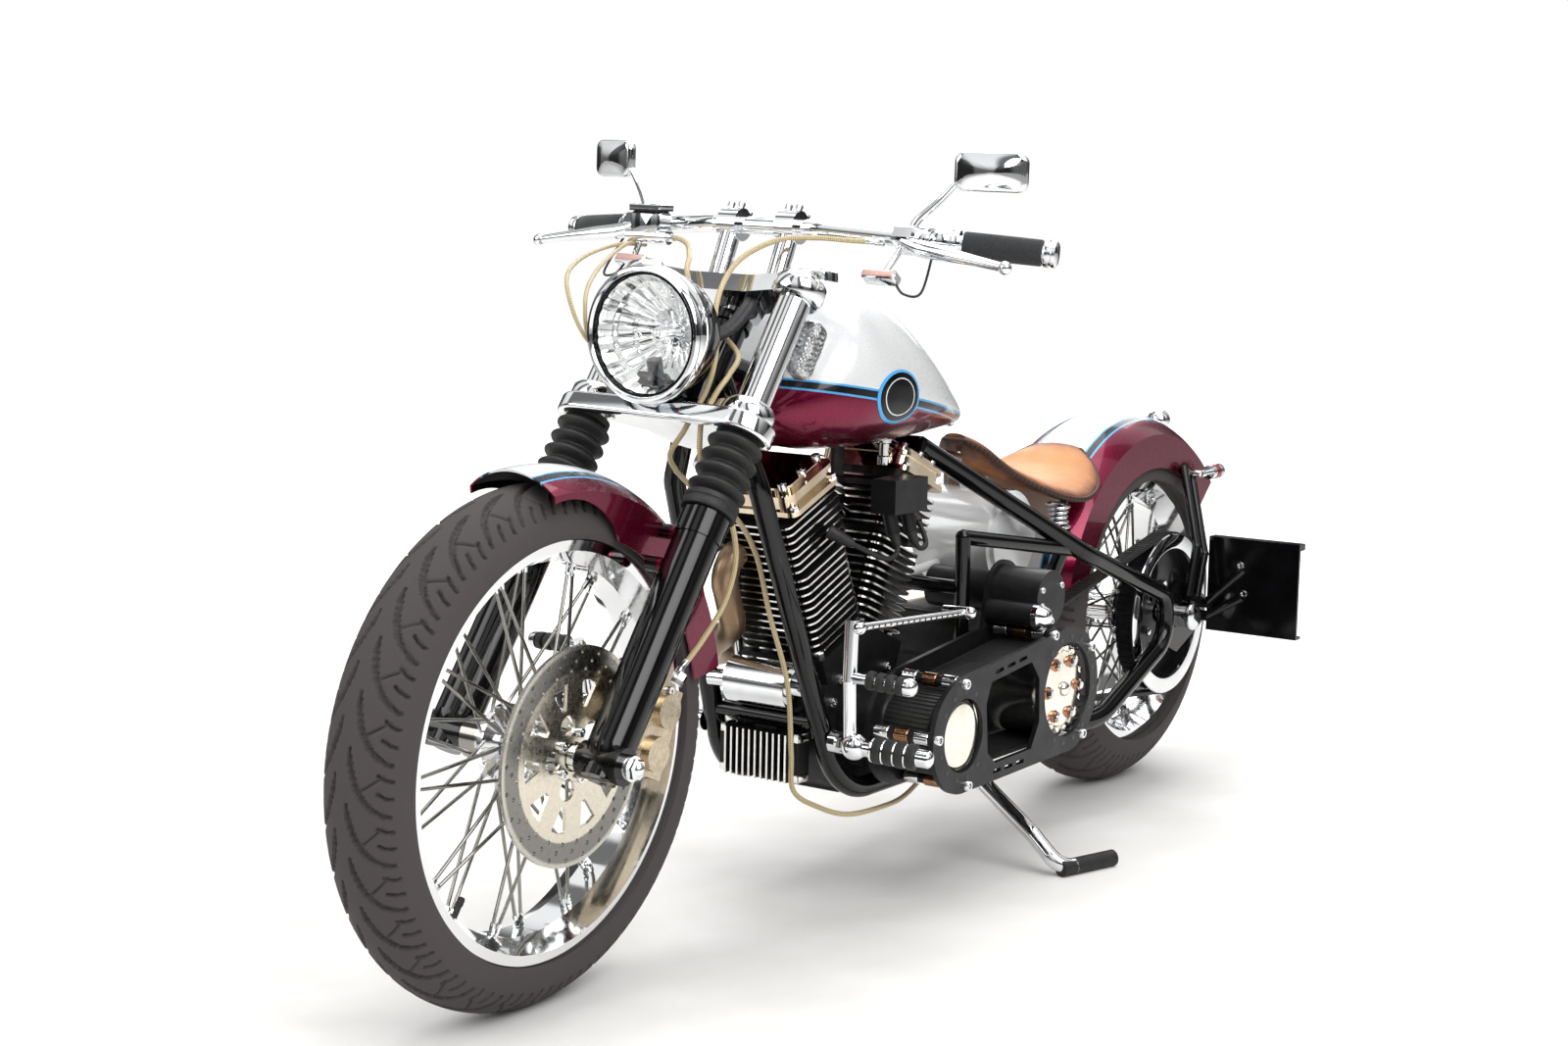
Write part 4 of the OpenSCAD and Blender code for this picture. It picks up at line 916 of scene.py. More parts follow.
@dataclass
class Wheel:
    """Tyre tread, spoke nipples and valve of one wheel."""

    name: str
    space: Space
    body: Body
    ring_r: float
    crown_r: float
    bead_r: float
    bead_half: float
    flange: Point
    pitches: int
    steps: int = 1080
    across: int = 76
    groups: int = 10
    groove: float = 5.0

    def notch(self, u: Array, pitch: float, half_width: Array | float) -> Array:
        """Groove profile: 1 inside the half width of the nearest repeat, 0 outside, with sloped walls."""
        far = np.abs((u + pitch / 2) % pitch - pitch / 2)
        return np.clip((half_width - far) / 1.1 + 0.5, 0, 1)

    def tread(self, turn: Array, lean: Array) -> Array:
        """Depth share of the tread.

        A hook runs along the crown and bends out to the shoulder, a thin groove leads from it towards the
        next hook and short dashes stand at the shoulder; the right half is half a pitch behind the left.

        Args:
            turn: angle round the axle.
            lean: angle across the crown.

        Returns:
            Depth from 0 to 1.
        """
        rim = self.ring_r + self.crown_r
        pitch = TURN * rim / self.pitches
        spread = 1.42
        v = np.abs(lean) / spread
        u = np.where(lean > 0, 0, pitch / 2) - turn * rim
        bend = table((0.04, 0.0), (0.14, 0.44), (0.26, 0.86), (0.42, 1.17), (0.6, 1.35), (0.8, 1.44),
                     (1.4, 1.48))
        fine = spline(bend, 12)
        hook = pitch * np.interp(v, fine[:, 0], fine[:, 1])
        steep = np.gradient(fine[:, 1], fine[:, 0])
        slope = np.interp(v, fine[:, 0], steep) * pitch / (spread * self.crown_r)
        wide = np.clip(np.sqrt(1 + slope**2), 1, 3.2)
        long_cut = self.notch(u - hook, pitch, (3.8 - 1.4 * v) * wide) * ((v > 0.1) & (v < 0.78))
        thin = self.notch(u - 0.95 * pitch + 0.94 * pitch * (v - 0.3), pitch, 1.7)
        thin = thin * ((v > 0.28) & (v < 0.64))
        dash = sum(self.notch(u - hook - share * pitch, pitch, 2.3) for share in (0.3, 0.64))
        dash = dash * ((v > 0.56) & (v < 0.82))
        return np.clip(np.maximum(np.maximum(long_cut, 0.7 * thin), dash), 0, 1)

    def tyre(self) -> None:
        """Tyre as a torus section whose radius drops in the grooves, which are also painted dark as shade."""
        turn = np.arange(self.steps)[:, None] * TURN / self.steps
        edge = math.acos((self.bead_r + 14 - self.ring_r) / self.crown_r)
        lean = np.linspace(-edge, edge, self.across)[None, :]
        cut = self.tread(turn, lean)
        rise = 0.5 * np.exp(-(((np.abs(lean) - 0.93 * edge) / 0.04) ** 2))
        r = self.crown_r - self.groove * cut + rise - 0.2
        low, half = self.bead_r + 0.5, self.bead_half - 0.4
        inner = table((self.bead_r + 13.5, half), (low, half), (low, -half), (self.bead_r + 13.5, -half))
        radius = np.hstack([self.ring_r + r * np.cos(lean), np.broadcast_to(inner[:, 0], (self.steps, 4))])
        side = np.hstack([r * np.sin(lean), np.broadcast_to(inner[:, 1], (self.steps, 4))])
        flank = np.broadcast_to(np.clip(np.abs(lean) / edge * 1.1 - 0.45, 0, 0.6), cut.shape)
        # painted shade: the groove depth also darkens the colour towards near black in the grooves
        tone = np.hstack([np.maximum(cut, flank), np.full((self.steps, 4), 0.7)])
        points = np.stack([radius * np.cos(turn), side, radius * np.sin(turn)], -1)
        shape = Shape(self.space).grid(points, True, True, tone)
        obj = shape.piece(self.name + "_tread", self.body, TYRE, "tyre_rubber", 50)
        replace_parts(obj, self.name + "_tyre")

    def nipples(self) -> None:
        """Spoke nipples at the rim, along the spokes' own directions, and the valve."""
        flange_r, flange_y, rim_y = self.flange
        g, side, way = (a.reshape(-1) for a in np.meshgrid(np.arange(self.groups), [1, -1], [1, -1]))
        step = TURN / self.groups
        turn = step * (g + np.where(side > 0, 0, 0.5))
        hub_turn = turn + way * math.radians(4)
        rim_turn = turn + way * (step * 0.25 + math.radians(26))
        rim_r = self.bead_r - 16
        rim = np.stack([rim_r * np.cos(rim_turn), side * rim_y, rim_r * np.sin(rim_turn)], -1)
        hub = np.stack([(flange_r - 5) * np.cos(hub_turn), side * (flange_y + way * 3.2),
                        (flange_r - 5) * np.sin(hub_turn)], -1)
        profile = table((0, 0), (4.4, 0), (4.4, 8), (3.5, 9.5), (3.5, 20), (0, 20.5))
        shape = Shape(self.space).copies(turned(profile, 8), rim, hub - rim)
        head = table((0, -3), (4.6, -3), (4.6, 0.6), (3, 2.4), (0, 2.8))
        shape.copies(turned(head, 10), hub + np.stack([0 * side, side * 3.0, 0 * side], -1),
                     np.stack([0 * side, side, 0 * side], -1))
        shape.piece(self.name + "_spoke_nipples", self.body, CHROME, "chrome")
        valve = table((0, 0), (4.2, 0), (4.2, 22), (5, 22), (5, 30), (3.6, 33), (0, 33))
        Shape(self.space).copies(turned(valve, 12), table((0, 0, -self.bead_r + 20)), UP).piece(
            self.name + "_valve", self.body, RUBBER, "black_rubber")

    def build(self) -> None:
        """Makes all pieces of the wheel."""
        self.tyre()
        self.nipples()


@dataclass
class Brakes:
    """Bolts and fittings of the brakes and axles."""

    disc_bolt_r: float = 32.0
    front_disc_y: float = 79.5
    rear_disc_y: float = -103.5

    def ring(self, count: int, radius: float, y: float, phase: float = 0.0) -> Array:
        """Places evenly round an axle along Y."""
        a = np.arange(count) * TURN / count + phase
        return np.stack([radius * np.cos(a), np.full(count, y), radius * np.sin(a)], -1)

    def build(self) -> None:
        """Makes the bolts of both discs, the pulley, the calipers and the axle nuts."""
        front = Shape(Space.FRONT_WHEEL)
        front.heads(CAP_HEAD, 16, self.ring(5, self.disc_bolt_r, self.front_disc_y), LEFT, 6.5, 6)
        front.piece("front_disc_bolts", Body.FRONT_WHEEL, CHROME, "chrome")
        rear = Shape(Space.REAR_WHEEL)
        rear.heads(CAP_HEAD, 16, self.ring(5, self.disc_bolt_r, self.rear_disc_y), -LEFT, 6.5, 6)
        rear.heads(HEX_HEAD, 6, self.ring(5, 52, 110.5, 0.63), LEFT, 8.5, 7)
        rear.piece("rear_hub_bolts", Body.REAR_WHEEL, CHROME, "chrome")
        rim = table((121, 131), (121, 137.2), (124, 137.8), (140, 137.8), (147, 137), (148.4, 135.3),
                    (148.4, 132.6))
        Shape(Space.REAR_WHEEL).turn(rim, 128, True).piece("pulley_edge", Body.REAR_WHEEL, CHROME, "chrome")
        nut = Shape(Space.FORK)
        ends = table((LEG_X, 175.5, 0), (LEG_X, -175.5, 0))
        nut.heads(HEX_HEAD, 6, ends, OUTWARDS, 15, 9)
        nut.heads(DOME_HEAD, 24, ends, OUTWARDS, 11, 15)
        nut.piece("front_axle_nuts", Body.STEERING, CHROME, "chrome")
        caliper = Shape(Space.FORK)
        studs = table((-86, 103, 60), (-58, 103, 150), (-20, 102, 74), (-20, 102, 118))
        caliper.heads(CAP_HEAD, 16, studs, LEFT, 6.5, 5)
        caliper.heads(HEX_HEAD, 6, table((-84, 92, 180)), table((0, 0.2, 1)), 9, 9)
        caliper.piece("caliper_bolts", Body.STEERING, CHROME, "chrome")
        cap = Shape(Space.BIKE)
        dome = table((0, 0), (24, 0), (26, 4), (25, 9), (18, 14), (8, 16), (0, 16.4))
        at = table((0, 177, 328.1), (0, -177, 328.1))
        cap.copies(turned(dome, 40), at, OUTWARDS)
        cap.piece("rear_axle_caps", Body.FRAME, CHROME, "chrome")


@dataclass
class Headlamp:
    """Reflector, bulb and rim of the headlamp, in lamp space with Z forward."""

    facets: int = 26

    def build(self) -> None:
        """Makes the reflector as a paraboloid with fluted facets, the chrome rim and the bulb."""
        rho = np.linspace(9, 81, 40)[None, :]
        a = np.arange(208)[:, None] * TURN / 208
        bowl = -8 - 72 * (1 - (rho / 81) ** 2)
        flute = 2.4 * np.abs(np.sin(a * self.facets / 2)) * (rho > 34)
        step = 2.0 * np.floor(rho / 17)
        side = 3.0 * np.abs(np.sin(a * 4)) * (rho <= 34)
        z = bowl + flute + step * 0.6 + side
        points = np.stack([rho * np.cos(a), rho * np.sin(a), z], -1)
        Shape(Space.LAMP).grid(points, True).piece("lamp_reflector", Body.STEERING, REFLECTOR, "chrome", 25)
        rim = table((84, 3), (85.4, 7.4), (88, 9.6), (91.6, 9), (94.6, 5), (96, -3), (95.8, -12),
                    (94.8, -17), (93, -18), (93, -2))
        Shape(Space.LAMP).turn(rim, 128, closed=True).piece("lamp_rim", Body.STEERING, CHROME, "chrome")
        bulb = table((0, -22), (5, -24), (9, -30), (9, -62), (14, -66), (14, -80), (0, -80))
        Shape(Space.LAMP).turn(bulb, 32).piece("lamp_bulb", Body.STEERING, CHROME, "chrome")


@dataclass
class Steering:
    """Small parts of the bars, clamps and levers, in fork space."""

    bar_end: Point = (-79.0, 411.0, 895.0)
    bar_bend: Point = (18.0, 92.0, 852.0)
    grip_len: float = 118.0
    perch_y: float = 264.0
    mirror_at: Point = (7.0, 330.0, 969.0)

    @property
    def way(self) -> Array:
        """Direction of the bar's left half, outwards."""
        return unit(np.array(self.bar_end) - np.array(self.bar_bend))

    def on_bar(self, y: float) -> Array:
        """Point of the left half of the bar at a distance from the middle."""
        end, bend = np.array(self.bar_end), np.array(self.bar_bend)
        return end + (bend - end) * (self.bar_end[1] - abs(y)) / (self.bar_end[1] - self.bar_bend[1])

    def sides(self, point: Array) -> Array:
        """A left point and its mirror image."""
        return np.stack([point, point * np.array([1, -1, 1])])

    def caps(self) -> None:
        """Bar ends, grip collars and clamp bolts."""
        ways = self.sides(self.way)
        shape = Shape(Space.FORK)
        cap = table((0, -6), (18.4, -6), (19.6, -4), (19.6, 1), (17, 2), (17, 5), (19, 6), (19, 11),
                    (15, 14), (0, 15))
        shape.copies(turned(cap, 40), self.sides(np.array(self.bar_end)), ways)
        collar = table((13.2, -9), (19.6, -9), (20.4, -7), (20.4, -2), (18, 0), (20.4, 2), (20.4, 7),
                       (19.6, 9), (13.2, 9))
        inner_end = self.on_bar(self.bar_end[1] - self.grip_len - 10)
        shape.copies(turned(collar, 40), self.sides(inner_end), ways)
        risers = np.vstack([corners(12, 9, 877) + [18, side * 50, 0] for side in (1, -1)])
        shape.heads(CAP_HEAD, 16, risers, UP, 5, 5)
        shape.heads(DOME_HEAD, 32, table((0, 0, 754)), UP, 20, 8)
        shape.piece("bar_fittings", Body.STEERING, CHROME, "chrome")

    def clamp_edges(self) -> None:
        """Rounded covers over the clamps' ends and fork tops: domes turned about each leg."""
        shape = Shape(Space.FORK)
        for s, top in ((520, 0), (726, 1)):
            dome = table((25.2, -17), (33, -16.6), (37.6, -11), (38.2, 0), (37.6, 11), (33, 16.6), (25.2, 17))
            legs = table((LEG_X, LEG_HALF, s), (LEG_X, -LEG_HALF, s))
            shape.copies(turned(dome, 48), legs, UP)
            if top:
                cap = table((0, 26), (12, 26), (17, 24), (23, 21), (25, 17), (25, 10), (0, 10))
                shape.copies(turned(cap, 48), legs, UP)
        shape.piece("clamp_ends", Body.STEERING, CHROME, "chrome")

    def clamp_rail(self) -> None:
        """Front rail of the lower clamp.

        A rounded outline is carried round the front of both legs, on arcs that a straight joins.
        """
        bend = np.radians(np.linspace(120, 0, 25))
        out = np.stack([np.cos(bend), np.sin(bend)], -1)
        left = 38 * out + np.array([LEG_X, LEG_HALF])
        mirror = np.array([1, -1])
        line = np.vstack([left[:1], left, left[::-1] * mirror, left[:1] * mirror])
        normal = np.vstack([out[:1], out, out[::-1] * mirror, out[:1] * mirror])
        size = np.ones(len(line))
        size[[0, -1]] = 0
        section = size[:, None, None] * rounded_outline(8, 14, 5)[None]
        flat = line[:, None] + normal[:, None] * section[..., :1]
        points = np.concatenate([flat, 498 + section[..., 1:]], -1)
        Shape(Space.FORK).grid(points, False, True).piece("clamp_rail", Body.STEERING, CHROME, "chrome")

    def mirrors(self) -> None:
        """Mirror heads on their stems.

        Each head is a rounded rectangle whose back bulges by the product of two parabolas, turned
        outwards so that its glass faces the rider.
        """
        edge_y, edge_up = rounded_outline(52, 28, 15).T
        rim = table((0.93, -8), (0.985, -9), (1, -7), (1, -2), (0.985, 2), (0.95, 4))
        shell = np.vstack([rim, np.stack([np.linspace(0.93, 0, 14), np.full(14, 4.5)], -1)])
        glass = table((0, -8.6), (0.6, -8.5), (0.94, -8.2), (0.94, -6))
        heads = Shape(Space.FORK)
        glasses = Shape(Space.FORK)
        for side in (1, -1):
            c, s = math.cos(math.radians(24 * side)), math.sin(math.radians(24 * side))
            toe = turn_y(STANCE.rake) @ np.array([[c, -s, 0], [s, c, 0], [0, 0, 1]])
            at = np.array(self.mirror_at) * np.array([1, side, 1])
            for shape, rows in ((heads, shell), (glasses, glass)):
                y, up = rows[:, :1] * edge_y, rows[:, :1] * edge_up
                dome = 10 * (1 - (y / 48.4) ** 2) * (1 - (up / 26.1) ** 2) * (rows[:, 1:] == 4.5)
                form = np.stack([rows[:, 1:] + dome, y, up], -1)
                shape.grid(form @ toe.T + at, False, True)
            flip = np.array([1, side, 1])
            foot = self.on_bar(self.perch_y - 34)
            stem = np.stack([foot + [14, 0, 2], foot + [22, 8, 20], foot + [26, 36, 56],
                             np.array(self.mirror_at) + [9, -34, -8]])
            heads.tube(spline(stem * flip, 8), np.linspace(6.5, 4.6, 25), 16)
            heads.heads(DOME_HEAD, 24, stem[3:] * flip, table((1, 0, -0.5)), 9, 8)
        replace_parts(heads.piece("mirror_heads", Body.STEERING, CHROME, "chrome", 50), "mirrors")
        glasses.piece("mirror_glasses", Body.STEERING, MIRROR, "chrome")

    def signals(self) -> None:
        """Slim signals under the perches: a chrome housing, a row of lenses and a wire."""
        wires = Shape(Space.FORK)
        lenses = Shape(Space.FORK)
        housings = Shape(Space.FORK)
        bar, faces = rounded_box(11, 27, 7)
        strip, strip_faces = rounded_box(3.5, 24, 4.6)
        for side in (1, -1):
            flip = np.array([1, side, 1])
            foot = self.on_bar(self.perch_y - 34)
            at = (foot + [24, -14, -82]) * flip
            housings.add(bar + at, faces)
            hanger = foot + table((16, -4, -24), (20, -8, -52), (23, -12, -78))
            housings.tube(hanger * flip, 4.6, 16)
            lenses.add(strip + at + [9.5, 0, 0], strip_faces)
            start = at + np.array([-8, 20 * side, -2])
            route = np.stack([start, start + [-6, side * 16, -14], start + [-10, side * 40, -8],
                              (self.on_bar(self.perch_y + 6) + [16, 0, -34]) * flip])
            wires.tube(spline(route, 8), 1.8, 8)
        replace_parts(housings.piece("signal_housings", Body.STEERING, CHROME, "chrome"), "front_signals")
        lenses.piece("signal_lenses", Body.STEERING, SIGNAL, "signal_lens")
        wires.piece("signal_wires", Body.STEERING, RUBBER, "black_rubber")

    def levers(self) -> None:
        """Perches, switch housings and tapered levers with ball ends."""
        chrome = Shape(Space.FORK)
        clamp = table((13.2, -17), (18, -17), (20, -15), (20, 15), (18, 17), (13.2, 17))
        house = table((13.2, -15), (19, -15), (21.5, -12), (22.2, 0), (21.5, 12), (19, 15), (13.2, 15))
        ball = table((0, -9.5), (5, -8.2), (8.4, -4.5), (9.6, 0), (8.4, 4.5), (5, 8.2), (0, 9.5))
        body, faces = rounded_box(22, 19, 12)
        foot = self.on_bar(self.perch_y - 30)
        blade = table((8, 234, 846), (4, 262, 838), (7, 305, 829), (7, 355, 821), (4, 404, 814))
        radii = np.interp(np.linspace(0, 4, 41), [0, 1, 2, 3, 4], [9, 12, 10.5, 7.5, 6])
        for side in (1, -1):
            flip = np.array([1, side, 1])
            chrome.copies(turned(clamp, 48), foot * flip, self.way * flip)
            chrome.copies(turned(house, 48), self.on_bar(self.perch_y + 2) * flip, self.way * flip)
            chrome.add((body + foot + [22, 0, -17]) * flip, faces)
            chrome.tube(spline(blade * flip, 10), radii, 24)
            chrome.copies(turned(ball, 32), blade[-1] * flip, self.way * flip)
            chrome.heads(DOME_HEAD, 24, (blade[0] + [0, 0, 6]) * flip, UP, 8, 12)
        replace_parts(chrome.piece("levers_and_perches", Body.STEERING, CHROME, "chrome"), "hand_controls")

    def reservoir(self) -> None:
        """Upright brake fluid box with its gasket and screwed lid beside the right perch."""
        at = np.array([14.0, -201, 848])
        upright = turn_y(STANCE.rake)
        box = Shape(Space.FORK)
        seal = Shape(Space.FORK)
        layers = (box, (18, 27, 20), 0), (seal, (18.6, 27.6, 2), 21), (box, (19, 28, 3.6), 25)
        for shape, size, lift in layers:
            points, faces = rounded_box(*size)
            shape.add((points + [0, 0, lift]) @ upright.T + at, faces)
        screws = corners(12, 20, 28) @ upright.T + at
        box.heads(DOME_HEAD, 16, screws, upright[:, 2], 3.6, 2)
        box.tube(at + table((-4, -34, -20), (-4, -12, -19), (-5, 14, -19), (-6, 38, -18)), 12, 24)
        box.piece("brake_reservoir", Body.STEERING, CHROME, "chrome")
        seal.piece("reservoir_gasket", Body.STEERING, RUBBER, "black_rubber")

    def foam(self) -> None:
        """Plain foam sleeves on the bar ends."""
        sleeve = table((13, -56), (17.8, -56), (18.8, -54), (19.0, -20), (19.0, 20), (18.8, 54),
                       (17.8, 56), (13, 56))
        middle = self.on_bar(self.bar_end[1] - 61)
        shape = Shape(Space.FORK).copies(turned(sleeve, 48), self.sides(middle), self.sides(self.way))
        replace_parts(shape.piece("foam_sleeves", Body.STEERING, FOAM, "black_rubber"), "grips")

    def gaiters(self) -> None:
        """Rubber gaiters turned about the legs: four deep folds between a collar and a cuff."""
        t = np.linspace(0, 1, 121)
        wave = (0.5 - 0.5 * np.cos(TURN * 4 * t)) ** 0.8
        folds = np.stack([28.5 + 12.5 * wave * (1 - 0.16 * t), 392 + 92 * t], -1)
        collar = table((24.8, 367.5), (37.6, 367.5), (38.6, 369), (38.6, 377), (37.2, 378.2), (37.2, 381),
                       (38.6, 382.2), (38.4, 388), (36, 390.5), (30, 391))
        cuff = table((31, 484.6), (32.4, 486), (32.4, 493), (31, 494), (24.8, 494))
        profile = np.vstack([collar, folds, cuff])
        shape = Shape(Space.FORK)
        shape.copies(turned(profile, 64), table((LEG_X, LEG_HALF, 0), (LEG_X, -LEG_HALF, 0)), UP)
        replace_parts(shape.piece("gaiter_folds", Body.STEERING, RUBBER, "black_rubber", 50), "fork_gaiters")

    def wiring(self) -> None:
        """Black looms from the lamp up to the neck, and a foil-wrapped box tied to the left leg."""
        loom = Shape(Space.FORK)
        for k in (0, 1):
            route = table((92, 30 + 14 * k, 606), (74, 56 + 10 * k, 640), (58, 62 + 8 * k, 690),
                          (34, 44 + 6 * k, 715), (6, 40, 735 + 6 * k))
            loom.tube(spline(route, 10), 8 - 2 * k, 16)
        loom.piece("lamp_looms", Body.STEERING, LOOM, "black_plastic")
        u = np.linspace(0, TURN, 73)[:-1][None, :]
        t = np.linspace(-1, 1, 41)[:, None]
        edge = np.sqrt(np.clip(1 - t**8, 0, 1))
        crease = 1 + 0.05 * np.sin(9 * u + 21 * t) * np.sin(13 * t + 4 * u) + 0.03 * np.sin(17 * u - 33 * t)
        x = 17 * edge * crease * np.sign(np.cos(u)) * np.abs(np.cos(u)) ** 0.45
        y = 15 * edge * crease * np.sign(np.sin(u)) * np.abs(np.sin(u)) ** 0.45
        box = np.stack([x, y, 45 * t + 0 * u], -1) + np.array([2, 146, 660])
        Shape(Space.FORK).grid(box, False, True).piece("foil_box", Body.STEERING, FOIL, "nickel", 20)

    def throttle_cables(self) -> None:
        """Two throttle cables that leave the right grip, loop beside the lamp and run under the clamp."""
        shape = Shape(Space.FORK)
        for k in (0, 1):
            route = table((-30 + 8 * k, -232, 838), (40, -225 + 16 * k, 790),
                          (150 - 26 * k, -178 + 16 * k, 690), (205 - 36 * k, -128 + 10 * k, 612),
                          (150 - 14 * k, -100, 560), (70, -84 + 8 * k, 585), (40, -70 + 8 * k, 640))
            shape.tube(spline(route, 10), 3.0, 10)
        shape.piece("throttle_cables", Body.STEERING, BRAIDED, "braided_cable")

    def build(self) -> None:
        """Makes all small parts of the steering."""
        self.caps()
        self.clamp_edges()
        self.clamp_rail()
        self.mirrors()
        self.signals()
        self.levers()
        self.reservoir()
        self.foam()
        self.gaiters()
        self.wiring()
        self.throttle_cables()


@dataclass
class Cables:
    """Braided hose and cable, near the model's own routes."""

    radius: float = 3.9
    brake: Array = field(default_factory=lambda: table(
        (6, -164, 830), (24, -132, 818), (46, -92, 794), (72, -58, 756), (84, -40, 722), (68, -16, 684),
        (54, 30, 650), (60, 82, 610), (68, 88, 575), (75, 86, 545), (74.3, 82, 524), (74.3, 80, 503),
        (68, 78, 484), (40, 82, 446), (-30, 90, 428), (-96, 92, 384), (-116, 92, 320), (-104, 90, 250),
        (-84, 86, 186)))
    clutch_upper: Array = field(default_factory=lambda: table(
        (8, 202, 842), (20, 160, 834), (34, 112, 826), (54, 66, 806), (72, 34, 764), (84, 28, 716),
        (96, 44, 656), (96, 68, 604), (86, 72, 570), (74, 66, 542), (71, 62, 524), (71, 58, 504),
        (62, 48, 482), (30, 16, 460), (-6, 8, 455)))
    clutch_lower: Array = field(default_factory=lambda: table(
        (1325.5, 7.4, 684.2), (1290, 12, 658), (1232, 34, 620), (1194, 48, 560), (1176, 62, 470),
        (1160, 84, 370), (1164, 96, 270), (1168, 104, 215), (1130, 122, 186), (1060, 130, 162),
        (960, 130, 155), (900, 130, 160), (850, 132, 185), (838, 134, 215)))

    def build(self) -> None:
        """Makes both, the clutch cable as one loose piece from the steering to the frame."""
        hose = Shape(Space.FORK).tube(spline(self.brake, 8), self.radius, 12).piece(
            "brake_line", Body.STEERING, BRAIDED, "braided_cable")
        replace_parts(hose, "brake_hose")
        turned_, shift = STANCE.frame_of(Space.BIKE)
        upper = (STANCE.place(self.clutch_upper, Space.FORK) / MM - shift) @ turned_
        path = spline(np.vstack([upper, self.clutch_lower]), 8)
        cable = Shape(Space.BIKE).tube(path, self.radius, 12)
        cable = cable.loose_piece("clutch_cable", BRAIDED, "braided_cable")
        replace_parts(cable, "clutch_cable_upper", "clutch_cable_lower")
        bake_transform(cable)
        ends = Shape(Space.FORK)
        ferrule = table((0, -2), (6, -2), (6, 10), (4.6, 12), (4.6, 24), (0, 24))
        tips = np.stack([self.brake[0], self.brake[-1], self.clutch_upper[0]])
        heading = np.stack([self.brake[1] - self.brake[0], self.brake[-2] - self.brake[-1],
                            self.clutch_upper[1] - self.clutch_upper[0]])
        ends.copies(turned(ferrule, 16), tips, heading)
        ends.piece("cable_ferrules", Body.STEERING, CHROME, "chrome")


